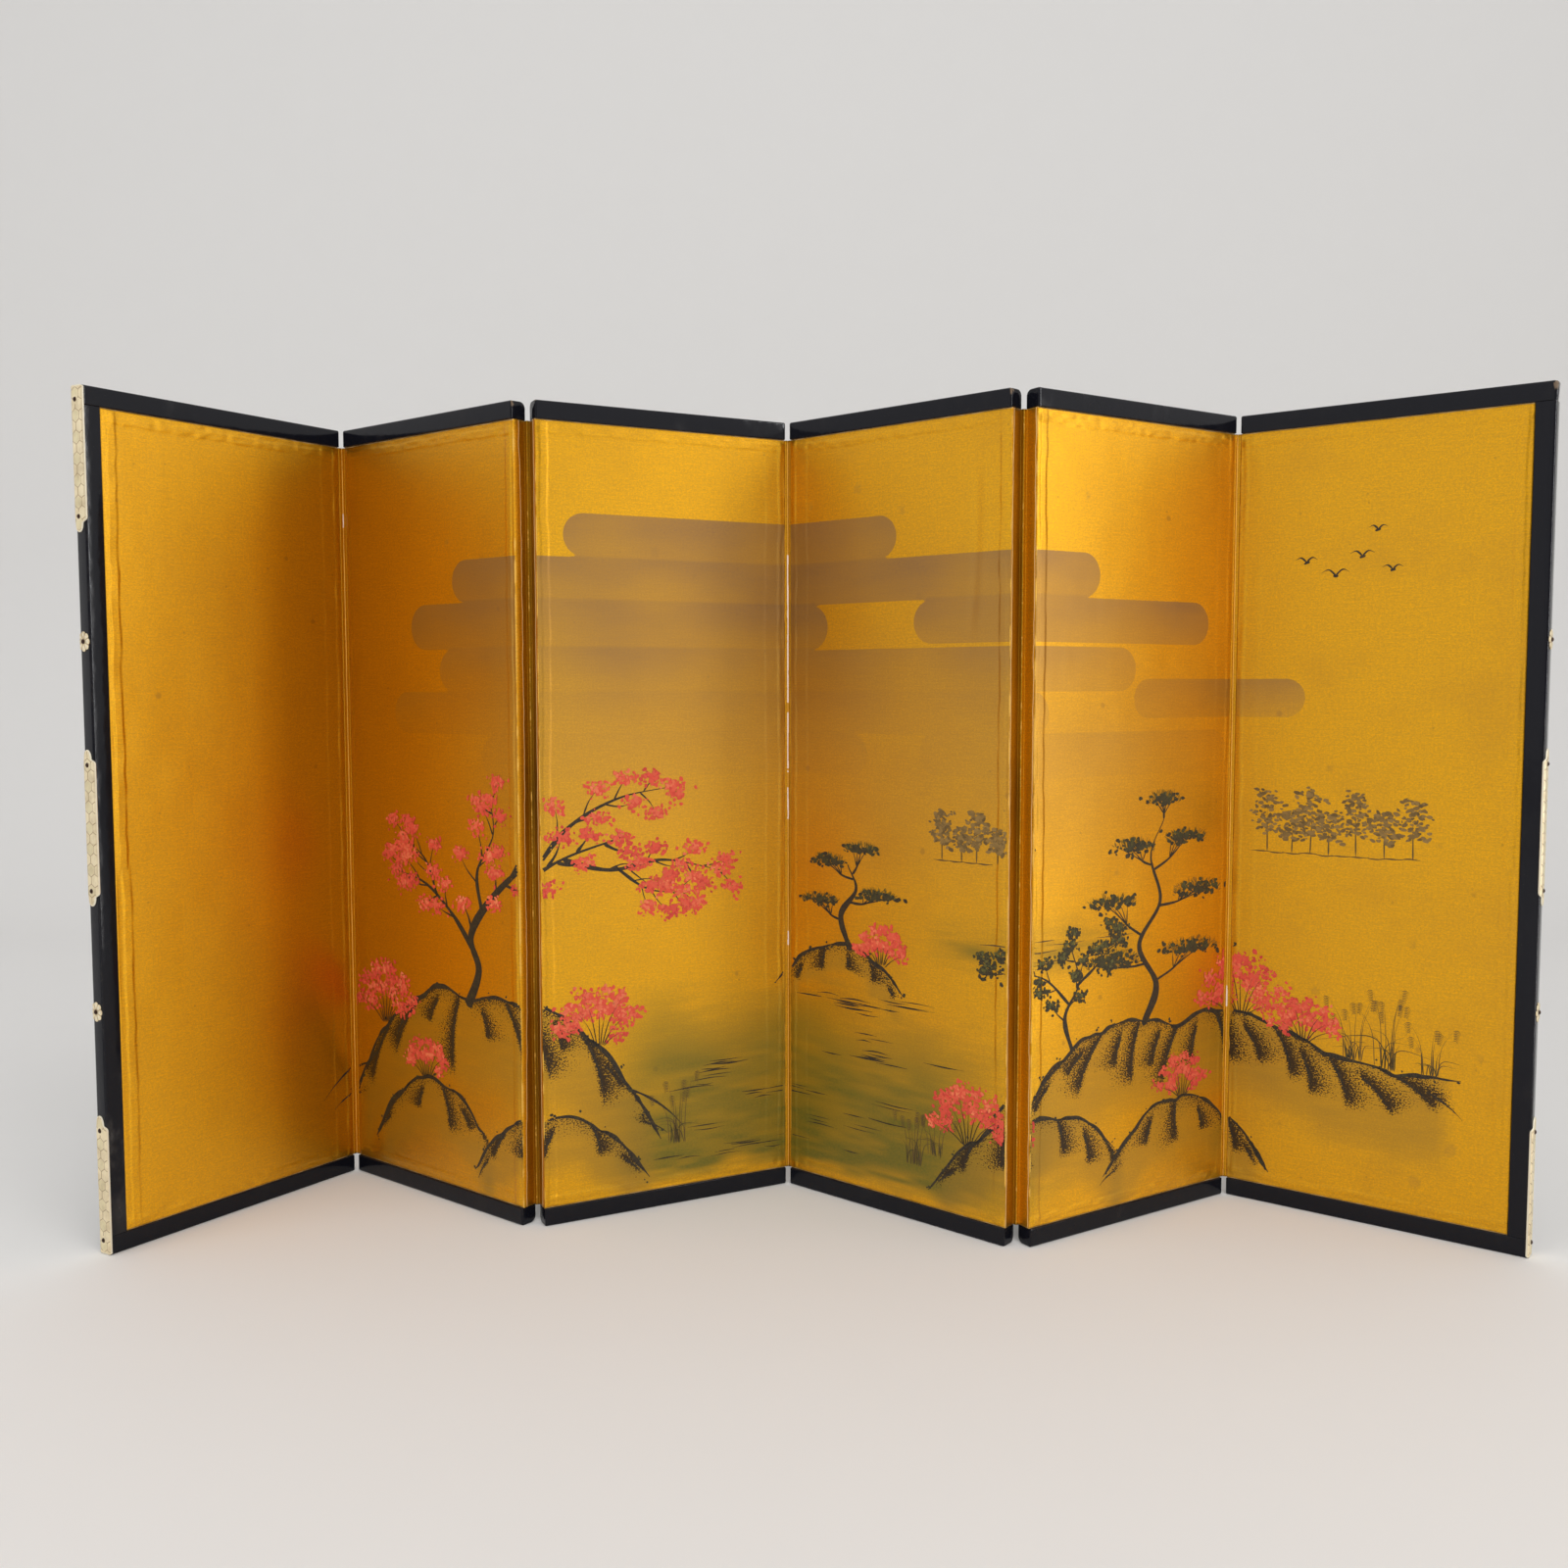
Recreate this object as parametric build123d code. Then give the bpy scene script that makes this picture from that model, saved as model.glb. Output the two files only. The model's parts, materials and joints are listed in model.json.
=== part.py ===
from build123d import *
import math
import os

# Six-panel folding screen, standing open in a zigzag.
# Millimetres, +Z up. The origin is the centre of the footprint, at the table.
# +X runs across the screen, the painted faces look towards -Y.
#
# Every panel is drawn in its own frame: U along the panel from its left end,
# V from the front of the lacquered rails towards the back, Z up.

# ---- overall sizes -----------------------------------------------------------
height = 455.0              # over both lacquered rails
panel_width = 151.5         # wrapped core of one panel
rail_height = 10.0          # lacquered rail, seen from the front
rail_depth = 10.2           # lacquered rail and stile, front to back
stile_width = 10.0          # lacquered stile on the two outer edges
fold_gap = 2.3              # between the rail ends at a fold
recess = 1.0                # cloth below the front, paper below the back of the rails
hinge_clearance = 0.2       # fold line outside the faces of the rails

# heading of each panel in plan, in degrees from +X, as the screen stands open
headings = (56.2, -38.0, 27.4, -40.9, 32.6, -36.9)

# ---- wrapped core ------------------------------------------------------------
face_cloth_thickness = 0.4
back_paper_thickness = 0.3
liner_thickness = 0.5       # layers of paper pasted over the lattice
lattice_frame_width = 12.0  # outer sticks of the lattice
lattice_slat_width = 6.0    # inner sticks
lattice_uprights = 2
lattice_crossbars = 6
tenon_length = 4.0

# ---- hinge cloth -------------------------------------------------------------
hinge_cloth_thickness = 0.35
hinge_cloth_slack = 0.4     # spare cloth on each side of the crease
hinge_cloth_margin = 1.5    # bare end face beyond the raw edge of the cloth

# ---- lacquered wood ----------------------------------------------------------
rail_front_radius = 1.2     # outer edge, front
rail_back_radius = 3.5      # outer edge, back
rail_inner_radius = 0.5     # edges beside the cloth and the paper
rail_end_radius = 0.8       # corners at a fold
stile_front_radius = 2.0    # outer edge, front
stile_back_radius = 3.0     # outer edge, back

# ---- blind bamboo pegs -------------------------------------------------------
peg_radius = 1.2
peg_length = 12.0
peg_clearance = 0.05
pegs_per_rail = 3
pegs_per_stile = 4
corner_peg_offset = 3.0     # behind the middle of the stile, clear of the nails

# ---- sheet metal fittings ----------------------------------------------------
plate_thickness = 0.6
plate_wrap = 1.0            # how far a plate reaches round onto the faces
corner_plate_length = 74.5
middle_plate_length = 82.0
tongue_length = 5.0
tongue_fullness = 0.72      # width of the tongue a third of the way from its tip to its cusps
shoulder_length = 3.3       # from the tongue's cusps to the full width
shoulder_hollow = 0.4       # how far along the shoulder its curve is deepest
cusp_inset = 1.7            # cusps, from the edges of the stile
table_clearance = 0.3       # bottom plate above the table
flower_radius = 5.2
flower_petals = 8
petal_radius = 1.75
flower_offset = 97.0        # from mid height
nail_head_radius = 1.3
nail_head_height = 0.8
nail_shank_radius = 0.6
nail_length = 5.0
nail_from_end = 7.2         # from a plate's straight end
nail_from_tip = 8.0         # from the tip of a tongue

# ---- worked out from the sizes above -----------------------------------------
panel_count = len(headings)
front_face = recess                                  # V of the cloth's outside
back_face = rail_depth - recess                      # V of the back paper's outside
paper_front = back_face - back_paper_thickness
skin = face_cloth_thickness + liner_thickness
lattice_front = front_face + skin
lattice_depth = paper_front - liner_thickness - lattice_front
middle_depth = rail_depth / 2
core_bottom = rail_height
core_top = height - rail_height
half_gap = fold_gap / 2
hinge_inset = recess + hinge_clearance               # fold line to the core's face
half_free_cloth = math.hypot(half_gap, hinge_inset) + hinge_cloth_slack
flange_depth = back_face - front_face - hinge_cloth_margin


def block(u0, u1, v0, v1, z0, z1):
    """A box from its six face positions."""
    box = Box(u1 - u0, v1 - v0, z1 - z0, align=(Align.MIN, Align.MIN, Align.MIN))
    return box.moved(Location((u0, v0, z0)))


def rod(radius, length, centre, axis="Z"):
    """A round rod about its centre, along U, V or Z."""
    turn = {"U": (0, 90, 0), "V": (90, 0, 0), "Z": (0, 0, 0)}[axis]
    return Cylinder(radius, length, rotation=turn).moved(Location(centre))


def rounded_corner(corner, before, after, radius):
    """The arc that rounds one corner, from the side of 'before' to 'after'."""
    corner, before, after = Vector(*corner), Vector(*before), Vector(*after)
    to_before = (before - corner).normalized()
    to_after = (after - corner).normalized()
    start = corner + to_before * radius
    end = corner + to_after * radius
    centre = start + to_after * radius
    middle = centre + (corner - centre).normalized() * radius
    return start, middle, end


def rounded_rectangle(a0, a1, b0, b1, radii):
    """Face on the XY plane; radii for the corners a0b0, a1b0, a1b1 and a0b1."""
    corners = [(a0, b0), (a1, b0), (a1, b1), (a0, b1)]
    arcs = [
        rounded_corner(corners[i], corners[i - 1], corners[(i + 1) % 4], radii[i])
        for i in range(4)
    ]
    edges = []
    for i, (start, middle, end) in enumerate(arcs):
        edges.append(ThreePointArc(start, middle, end))
        edges.append(Line(end, arcs[(i + 1) % 4][0]))
    return make_face(edges)


def upright(face, z0, z1):
    """Extrude a plan face, drawn as U and V, between two heights."""
    return extrude(Pos(0, 0, z0) * face, amount=z1 - z0)


def lengthwise(face, u0, u1):
    """Extrude a section, drawn as V and Z, along the panel."""
    plane = Plane(origin=(u0, 0, 0), x_dir=(0, 1, 0), z_dir=(1, 0, 0))
    return extrude(plane * face, amount=u1 - u0)


def crosswise(face, v0, v1):
    """Extrude an elevation, drawn as U and Z, from front to back."""
    plane = Plane(origin=(0, v1, 0), x_dir=(1, 0, 0), z_dir=(0, -1, 0))
    return extrude(plane * face, amount=v1 - v0)


def spread(count, low, high):
    """Even places for 'count' things between two limits, with equal gaps."""
    step = (high - low) / (count + 1)
    return [low + step * (i + 1) for i in range(count)]


# ---- one panel ---------------------------------------------------------------
def core_start(index):
    """U of the core's left edge: the first panel has a stile before it."""
    return stile_width if index == 0 else 0.0


def panel_length(index):
    """Rail length: the two outer panels are longer by their stile."""
    outer = index in (0, panel_count - 1)
    return panel_width + (stile_width if outer else 0.0)


def rail_peg_places(index):
    u0 = core_start(index)
    return spread(pegs_per_rail, u0, u0 + panel_width)


def stile_peg_heights():
    return spread(pegs_per_stile, core_bottom, core_top)


def stile_side(index):
    """-1 for a stile at the left end, +1 at the right end, 0 for none."""
    if index == 0:
        return -1
    return 1 if index == panel_count - 1 else 0


def stile_joint(index):
    """U of the plane where the stile meets the core."""
    return stile_width if index == 0 else panel_width


def frame_pegs(index, clearance=0.0):
    """Pegs from the rails and the stile into the lattice; bigger for their holes."""
    radius = peg_radius + clearance
    length = peg_length + 2 * clearance
    pegs = [
        rod(radius, length, (u, middle_depth, z))
        for z in (core_bottom, core_top)
        for u in rail_peg_places(index)
    ]
    side = stile_side(index)
    if side:
        joint = stile_joint(index)
        pegs += [
            rod(radius, length, (joint, middle_depth, z), "U") for z in stile_peg_heights()
        ]
        corner = joint + side * stile_width / 2
        pegs += [
            rod(radius, length, (corner, middle_depth + corner_peg_offset, z))
            for z in (core_bottom, core_top)
        ]
    return pegs


def without(solid, cutters):
    for cutter in cutters:
        solid = solid - cutter
    return solid


def lattice(index):
    """Frame of four sticks with lapped slats inside, all tenoned together."""
    u0 = core_start(index) + skin
    u1 = core_start(index) + panel_width - skin
    v0, v1 = lattice_front, lattice_front + lattice_depth
    z0, z1 = core_bottom, core_top
    inner_u0, inner_u1 = u0 + lattice_frame_width, u1 - lattice_frame_width
    inner_z0, inner_z1 = z0 + lattice_frame_width, z1 - lattice_frame_width
    third = lattice_depth / 3
    tenon_v0, tenon_v1 = v0 + third, v1 - third
    middle = v0 + lattice_depth / 2
    half_slat = lattice_slat_width / 2

    upright_places = spread(lattice_uprights, inner_u0, inner_u1)
    crossbar_places = spread(lattice_crossbars, inner_z0, inner_z1)

    end_bars = []
    for low, high in ((z0, inner_z0), (inner_z1, z1)):
        bar = block(inner_u0, inner_u1, v0, v1, low, high)
        shoulder = lattice_frame_width / 4
        tenon = block(
            inner_u0 - tenon_length, inner_u1 + tenon_length,
            tenon_v0, tenon_v1, low + shoulder, high - shoulder,
        )
        end_bars.append(bar + tenon)

    uprights, crossbars = [], []
    for u in upright_places:
        slat = block(u - half_slat, u + half_slat, v0, v1, inner_z0, inner_z1)
        slat += block(
            u - half_slat, u + half_slat, tenon_v0, tenon_v1,
            inner_z0 - tenon_length, inner_z1 + tenon_length,
        )
        laps = [
            block(u - half_slat, u + half_slat, middle, v1, z - half_slat, z + half_slat)
            for z in crossbar_places
        ]
        uprights.append(without(slat, laps))
    for z in crossbar_places:
        slat = block(inner_u0, inner_u1, v0, v1, z - half_slat, z + half_slat)
        slat += block(
            inner_u0 - tenon_length, inner_u1 + tenon_length,
            tenon_v0, tenon_v1, z - half_slat, z + half_slat,
        )
        laps = [
            block(u - half_slat, u + half_slat, v0, middle, z - half_slat, z + half_slat)
            for u in upright_places
        ]
        crossbars.append(without(slat, laps))

    pegs = frame_pegs(index, peg_clearance)
    end_bars = [without(bar, uprights + pegs) for bar in end_bars]
    sides = [
        without(block(low, high, v0, v1, z0, z1), end_bars + crossbars + pegs)
        for low, high in ((u0, inner_u0), (inner_u1, u1))
    ]
    return sides + end_bars + uprights + crossbars


def liner(index):
    """Paper sleeve pasted round the lattice, open at the top and the bottom."""
    u0, u1 = core_start(index), core_start(index) + panel_width
    cloth = face_cloth_thickness
    sleeve = block(u0 + cloth, u1 - cloth, front_face + cloth, paper_front, core_bottom, core_top)
    inside = block(
        u0 + skin, u1 - skin, lattice_front, lattice_front + lattice_depth, core_bottom, core_top
    )
    return [without(sleeve - inside, frame_pegs(index, peg_clearance))]


def face_cloth(index):
    """Gold cloth over the front, turned back over both side edges."""
    u0, u1 = core_start(index), core_start(index) + panel_width
    cloth = face_cloth_thickness
    sheet = block(u0, u1, front_face, paper_front, core_bottom, core_top)
    inside = block(u0 + cloth, u1 - cloth, front_face + cloth, paper_front, core_bottom, core_top)
    return [without(sheet - inside, frame_pegs(index, peg_clearance))]


def back_paper(index):
    u0 = core_start(index)
    return [block(u0, u0 + panel_width, paper_front, back_face, core_bottom, core_top)]


# ---- lacquered rails and stiles ----------------------------------------------
def end_radii(index):
    """Plan radii of a rail: front left, front right, back right, back left."""
    left_front = right_front = left_back = right_back = rail_end_radius
    if stile_side(index) < 0:
        left_front, left_back = stile_front_radius, stile_back_radius
    if stile_side(index) > 0:
        right_front, right_back = stile_front_radius, stile_back_radius
    return left_front, right_front, right_back, left_back


def rail_body(index, top):
    """A lacquered rail: section, plan and elevation are each rounded in turn."""
    length = panel_length(index)
    inner, front, back, end = rail_inner_radius, rail_front_radius, rail_back_radius, rail_end_radius
    if top:
        low, high = core_top, height
        section_radii = (inner, inner, back, front)
        elevation_radii = (inner, inner, end, end)
    else:
        low, high = 0.0, rail_height
        section_radii = (front, back, inner, inner)
        elevation_radii = (end, end, inner, inner)
    section = rounded_rectangle(0.0, rail_depth, low, high, section_radii)
    plan = rounded_rectangle(0.0, length, 0.0, rail_depth, end_radii(index))
    elevation = rounded_rectangle(0.0, length, low, high, elevation_radii)
    body = lengthwise(section, 0.0, length) & upright(plan, low, high)
    return body & crosswise(elevation, 0.0, rail_depth)


def stile_section(grow=0.0):
    """Plan of a stile, drawn with its outer side at U = 0; the plates hug a grown one."""
    front, back = stile_front_radius + grow, stile_back_radius + grow
    radii = (front, rail_inner_radius, rail_inner_radius, back)
    return rounded_rectangle(-grow, stile_width, -grow, rail_depth + grow, radii)


def to_right_end(solid):
    """Mirror a fitting or stile drawn at the left end over to the right end."""
    middle = (panel_width + stile_width) / 2
    return mirror(solid, about=Plane((middle, 0, 0), x_dir=(0, 1, 0), z_dir=(1, 0, 0)))


def placed(solid, side):
    return solid if side < 0 else to_right_end(solid)


def rail(index, top):
    side = stile_side(index)
    holes = frame_pegs(index, peg_clearance)
    if side:
        holes += [placed(hole, side) for hole in nail_holes()]
    return [without(rail_body(index, top), holes)]


def outer_stile(index):
    side = stile_side(index)
    body = placed(upright(stile_section(), core_bottom, core_top), side)
    holes = frame_pegs(index, peg_clearance)
    holes += [placed(hole, side) for hole in nail_holes()]
    return [without(body, holes)]


# ---- fittings on the outer side faces, drawn at the left end ------------------
def corner_nail_heights(top):
    """Nails of a corner plate: one near its straight end, one in its tongue."""
    from_end = (nail_from_end, corner_plate_length - nail_from_tip)
    if top:
        return [height - z for z in from_end]
    return [z + table_clearance for z in from_end]


def middle_nail_heights():
    half = middle_plate_length / 2 - nail_from_tip
    return [height / 2 - half, height / 2 + half]


def flower_heights():
    return [height / 2 - flower_offset, height / 2 + flower_offset]


def nail_heights(side):
    """Heights of the nails of one stile: the right stile has lost its top plate."""
    heights = corner_nail_heights(False) + middle_nail_heights() + flower_heights()
    if side < 0:
        heights += corner_nail_heights(True)
    return heights


def nail_holes():
    """Holes for the nail shanks, which stay behind where a plate is lost."""
    heights = nail_heights(-1)
    outside = 2 * plate_thickness
    length = nail_length + outside
    return [
        rod(nail_shank_radius, length, (nail_length - length / 2, middle_depth, z), "U")
        for z in heights
    ]


def nails(side):
    """Domed heads on the plates and flowers, with their shanks in the stile."""
    dome_radius = (nail_head_radius ** 2 + nail_head_height ** 2) / (2 * nail_head_height)
    rim_angle = math.asin(nail_head_radius / dome_radius)
    seat = -plate_thickness
    crown = seat - nail_head_height
    half_way = (
        crown + dome_radius * (1 - math.cos(rim_angle / 2)), dome_radius * math.sin(rim_angle / 2)
    )
    profile = make_face([
        ThreePointArc((crown, 0), half_way, (seat, nail_head_radius)),
        Line((seat, nail_head_radius), (seat, nail_shank_radius)),
        Line((seat, nail_shank_radius), (nail_length, nail_shank_radius)),
        Line((nail_length, nail_shank_radius), (nail_length, 0)),
        Line((nail_length, 0), (crown, 0)),
    ])
    nail = revolve(profile, Axis.X)
    places = [Location((0, middle_depth, z)) for z in nail_heights(side)]
    return [placed(nail.moved(place), side) for place in places]


def tongued_outline(z_tip, z_end, rounded_end):
    """Side view of a plate, as V and Z, with a tongue at z_tip."""
    way = 1 if z_end > z_tip else -1
    half = middle_depth
    z_cusp = z_tip + way * tongue_length
    z_shoulder = z_cusp + way * shoulder_length
    cusp = half - cusp_inset
    z_full = z_tip + way * tongue_length / 3
    z_hollow = z_cusp + way * shoulder_length * shoulder_hollow
    hollow = half - cusp_inset * shoulder_hollow ** 2
    edges = []
    for hand in (-1, 1):
        shoulder_point = (half + hand * half, z_shoulder)
        hollow_point = (half + hand * hollow, z_hollow)
        cusp_point = (half + hand * cusp, z_cusp)
        full_point = (half + hand * cusp * tongue_fullness, z_full)
        edges.append(ThreePointArc(shoulder_point, hollow_point, cusp_point))
        edges.append(ThreePointArc(cusp_point, full_point, (half, z_tip)))
    if rounded_end:
        edges.append(Line((0, z_shoulder), (0, z_end)))
        edges.append(Line((0, z_end), (rail_depth, z_end)))
        edges.append(Line((rail_depth, z_end), (rail_depth, z_shoulder)))
    return edges


def side_shell(z0, z1):
    """Thin skin that hugs the stile's outer side and its two rounded edges."""
    shell = upright(stile_section(plate_thickness), z0, z1) - upright(stile_section(), z0, z1)
    return shell & block(-plate_thickness, plate_wrap, -rail_depth, 2 * rail_depth, z0, z1)


def corner_plate(side, top):
    """Plate over the end of a rail and down the stile, with a tongue at its far end."""
    z_tip = height - corner_plate_length if top else corner_plate_length + table_clearance
    z_end = height if top else table_clearance
    low, high = min(z_tip, z_end), max(z_tip, z_end)
    outline = make_face(tongued_outline(z_tip, z_end, True))
    shell = side_shell(low, high) & lengthwise(outline, -plate_thickness, plate_wrap)
    corners = rounded_rectangle(
        -plate_thickness, rail_depth + plate_thickness, 0.0, height,
        (rail_front_radius, rail_back_radius, rail_back_radius, rail_front_radius),
    )
    shell = shell & lengthwise(corners, -plate_thickness, plate_wrap)
    return [placed(without(shell, nail_holes()), side)]


def middle_plate(side):
    """Plate with a tongue at each end, at mid height."""
    half = middle_plate_length / 2
    low, high = height / 2 - half, height / 2 + half
    edges = tongued_outline(low, height / 2, False) + tongued_outline(high, height / 2, False)
    z_low = low + tongue_length + shoulder_length
    z_high = high - tongue_length - shoulder_length
    edges += [Line((v, z_low), (v, z_high)) for v in (0, rail_depth)]
    outline = make_face(edges)
    shell = side_shell(low, high) & lengthwise(outline, -plate_thickness, plate_wrap)
    return [placed(without(shell, nail_holes()), side)]


def flowers(side):
    """Petalled washers pressed round the stile, each under one nail."""
    made = []
    for z in flower_heights():
        reach = flower_radius - petal_radius
        disc = Pos(middle_depth, z) * Circle(reach)
        for petal in range(flower_petals):
            angle = 2 * math.pi * petal / flower_petals
            centre = (middle_depth + reach * math.cos(angle), z + reach * math.sin(angle))
            disc += Pos(*centre) * Circle(petal_radius)
        low, high = z - flower_radius, z + flower_radius
        shell = side_shell(low, high) & lengthwise(disc, -plate_thickness, plate_wrap)
        made.append(placed(without(shell, nail_holes()), side))
    return made


# ---- hinge cloth -------------------------------------------------------------
def hinge_cloth(turn):
    """
    Cloth that joins two panels. Its flanges are pasted to the end faces of the
    two cores, and between them it crosses the gap with one crease. It is drawn
    about the fold line, with the gutter between the end faces towards +Y.
    """
    half = math.radians(turn) / 2
    sin_half, cos_half = math.sin(half), math.cos(half)

    def point(along, deep):
        """From the left panel's own directions to the fold's."""
        return along * cos_half - deep * sin_half, along * sin_half + deep * cos_half

    corner = point(-half_gap, hinge_inset)
    crease = corner[1] + math.sqrt(half_free_cloth ** 2 - corner[0] ** 2)
    run = (-corner[0], crease - corner[1])
    thick = hinge_cloth_thickness
    inward = (-run[1] * thick / half_free_cloth, run[0] * thick / half_free_cloth)
    inner_crease = crease + inward[1] - inward[0] * run[1] / run[0]
    flange_foot = point(-half_gap, hinge_inset + flange_depth)
    flange_toe = point(-half_gap + thick, hinge_inset + flange_depth)
    # where the flange's free face meets the inside of the free cloth
    face = point(-half_gap + thick, hinge_inset)
    down = point(0.0, 1.0)
    start = (corner[0] + inward[0], corner[1] + inward[1])
    cross = run[0] * down[1] - run[1] * down[0]
    share = ((start[1] - face[1]) * run[0] - (start[0] - face[0]) * run[1]) / cross
    root = (face[0] + share * down[0], face[1] + share * down[1])
    left = [corner, flange_foot, flange_toe, root]
    outline = [(0, crease)] + left + [(0, inner_crease)]
    outline += [(-x, y) for x, y in reversed(left)]
    face_on_plan = make_face(Polyline(*outline, close=True))
    return upright(face_on_plan, core_bottom, core_top)


# ---- where the panels and the folds stand --------------------------------------
def unit(angle):
    return Vector(math.cos(math.radians(angle)), math.sin(math.radians(angle)), 0)


def is_valley(fold):
    """Valley folds, with the hinge in front, alternate with peaks."""
    return fold % 2 == 0


def fold_depth(fold):
    """V of the fold line, outside the front or the back of the rails."""
    return -hinge_clearance if is_valley(fold) else rail_depth + hinge_clearance


def zigzag():
    """Places of the panels and the fold lines, from the first panel on."""
    corner = Vector(0, 0, 0)
    places, folds = [], []
    for index, heading in enumerate(headings):
        places.append(Location(tuple(corner), (0, 0, heading)))
        if index < panel_count - 1:
            along, back = unit(heading), unit(heading + 90)
            depth = fold_depth(index)
            line = corner + along * (panel_length(index) + half_gap) + back * depth
            next_along = unit(headings[index + 1])
            next_back = unit(headings[index + 1] + 90)
            corner = line + next_along * half_gap - next_back * depth
            # the gutter faces back at a valley and front at a peak
            bisector = (heading + headings[index + 1]) / 2
            gutter = bisector if is_valley(index) else bisector + 180
            folds.append(Location(tuple(line), (0, 0, gutter)))
    return places, folds


def build_nodes():
    """All the pieces, as node name to placed solids, not yet centred."""
    places, folds = zigzag()
    nodes = {}
    for index, place in enumerate(places):
        number = index + 1
        pieces = {
            f"lattice_{number}": lattice(index),
            f"liner_{number}": liner(index),
            f"face_cloth_{number}": face_cloth(index),
            f"back_paper_{number}": back_paper(index),
            f"top_rail_{number}": rail(index, True),
            f"bottom_rail_{number}": rail(index, False),
            f"frame_pegs_{number}": frame_pegs(index),
        }
        side = stile_side(index)
        if side:
            hand = "left" if side < 0 else "right"
            pieces[f"{hand}_stile"] = outer_stile(index)
            pieces[f"{hand}_bottom_plate"] = corner_plate(side, False)
            pieces[f"{hand}_middle_plate"] = middle_plate(side)
            pieces[f"{hand}_flowers"] = flowers(side)
            pieces[f"{hand}_nails"] = nails(side)
            if side < 0:
                pieces[f"{hand}_top_plate"] = corner_plate(side, True)
        for name, solids in pieces.items():
            nodes[name] = [solid.moved(place) for solid in solids]
    for index, place in enumerate(folds):
        turn = abs(headings[index + 1] - headings[index])
        nodes[f"hinge_cloth_{index + 1}"] = [hinge_cloth(turn).moved(place)]
    return nodes, folds


def centre_of(nodes):
    """Middle of the footprint of every piece together."""
    boxes = [solid.bounding_box() for solids in nodes.values() for solid in solids]
    x = (min(box.min.X for box in boxes) + max(box.max.X for box in boxes)) / 2
    y = (min(box.min.Y for box in boxes) + max(box.max.Y for box in boxes)) / 2
    return Vector(x, y, 0)


all_nodes, fold_places = build_nodes()
centre = centre_of(all_nodes)
shift = Location((-centre.X, -centre.Y, 0))

os.makedirs("parts", exist_ok=True)
for node, solids in all_nodes.items():
    pieces = [shift * solid for solid in solids]
    export_step(Compound(children=pieces), f"parts/{node}.step")

fold_lines = [(shift * place).position for place in fold_places]
for number, line in enumerate(fold_lines, start=1):
    print(f"fold {number}: x {line.X:.3f} y {line.Y:.3f}")
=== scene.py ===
import json
import math

import bmesh
import bpy
import numpy as np
from bpy.props import BoolProperty, FloatProperty, FloatVectorProperty, IntProperty, PointerProperty
from bpy.types import Operator, Panel, PropertyGroup
from mathutils import Euler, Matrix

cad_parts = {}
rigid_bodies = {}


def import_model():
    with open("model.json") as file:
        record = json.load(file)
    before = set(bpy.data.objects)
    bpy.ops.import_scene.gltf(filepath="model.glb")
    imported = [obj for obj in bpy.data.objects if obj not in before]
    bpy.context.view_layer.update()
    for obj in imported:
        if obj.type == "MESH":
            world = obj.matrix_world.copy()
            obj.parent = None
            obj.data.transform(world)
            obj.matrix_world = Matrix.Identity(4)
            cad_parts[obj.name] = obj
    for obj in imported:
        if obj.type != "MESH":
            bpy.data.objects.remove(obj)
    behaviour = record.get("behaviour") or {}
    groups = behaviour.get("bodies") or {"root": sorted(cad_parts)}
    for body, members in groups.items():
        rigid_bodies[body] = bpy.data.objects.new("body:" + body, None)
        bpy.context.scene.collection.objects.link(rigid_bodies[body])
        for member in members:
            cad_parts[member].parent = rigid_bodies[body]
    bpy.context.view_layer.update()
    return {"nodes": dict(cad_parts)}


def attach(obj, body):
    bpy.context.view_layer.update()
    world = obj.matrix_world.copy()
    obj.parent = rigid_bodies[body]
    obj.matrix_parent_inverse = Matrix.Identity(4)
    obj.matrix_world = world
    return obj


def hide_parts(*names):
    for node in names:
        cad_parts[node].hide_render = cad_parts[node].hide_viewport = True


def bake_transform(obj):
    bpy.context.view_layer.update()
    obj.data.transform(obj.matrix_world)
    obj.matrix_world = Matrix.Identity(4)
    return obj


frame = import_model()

bl_info = {
    "name": "Tabletop folding screen",
    "version": (1, 0, 0),
    "blender": (4, 5, 0),
    "location": "3D View > Sidebar > Screen",
    "description": "Dresses a six-panel folding screen: gold cloth, lacquer, gilt fittings and painting",
    "category": "Add Mesh",
}

# Lengths are in millimetres until a mesh is made, apart from the Blender units of the properties.
MM = 0.001
PANEL_COUNT = sum(name.startswith("liner_") for name in frame["nodes"])
UV_SPAN = 1000.0             # millimetres of painting in one unit of a UV map


# ---- numbers and noise ----
def smoothstep(x, low, high):
    """Cubic step from 0 at low to 1 at high."""
    t = np.clip((np.asarray(x, float) - low) / np.maximum(high - low, 1e-9), 0.0, 1.0)
    return t * t * (3.0 - 2.0 * t)


def fall(x, low, high):
    """Cubic step from 1 at low to 0 at high."""
    return 1 - smoothstep(x, low, high)


def bump_at(x, centre, width):
    """Bell curve of height 1."""
    return np.exp(-((np.asarray(x, float) - centre) / width) ** 2)


def soft_noise(x, y, cell, seed):
    """Value noise from -1 to 1: seeded values on a square lattice, joined by cubic weights."""
    size = 128
    lattice = np.random.default_rng(seed).uniform(-1.0, 1.0, (size, size))
    gx, gy = np.asarray(x, float) / cell, np.asarray(y, float) / cell
    ix, iy = np.floor(gx).astype(int), np.floor(gy).astype(int)
    wx, wy = smoothstep(gx - ix, 0, 1), smoothstep(gy - iy, 0, 1)

    def at(i, j):
        return lattice[i % size, j % size]

    low = at(ix, iy) * (1 - wx) + at(ix + 1, iy) * wx
    high = at(ix, iy + 1) * (1 - wx) + at(ix + 1, iy + 1) * wx
    return low * (1 - wy) + high * wy


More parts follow.
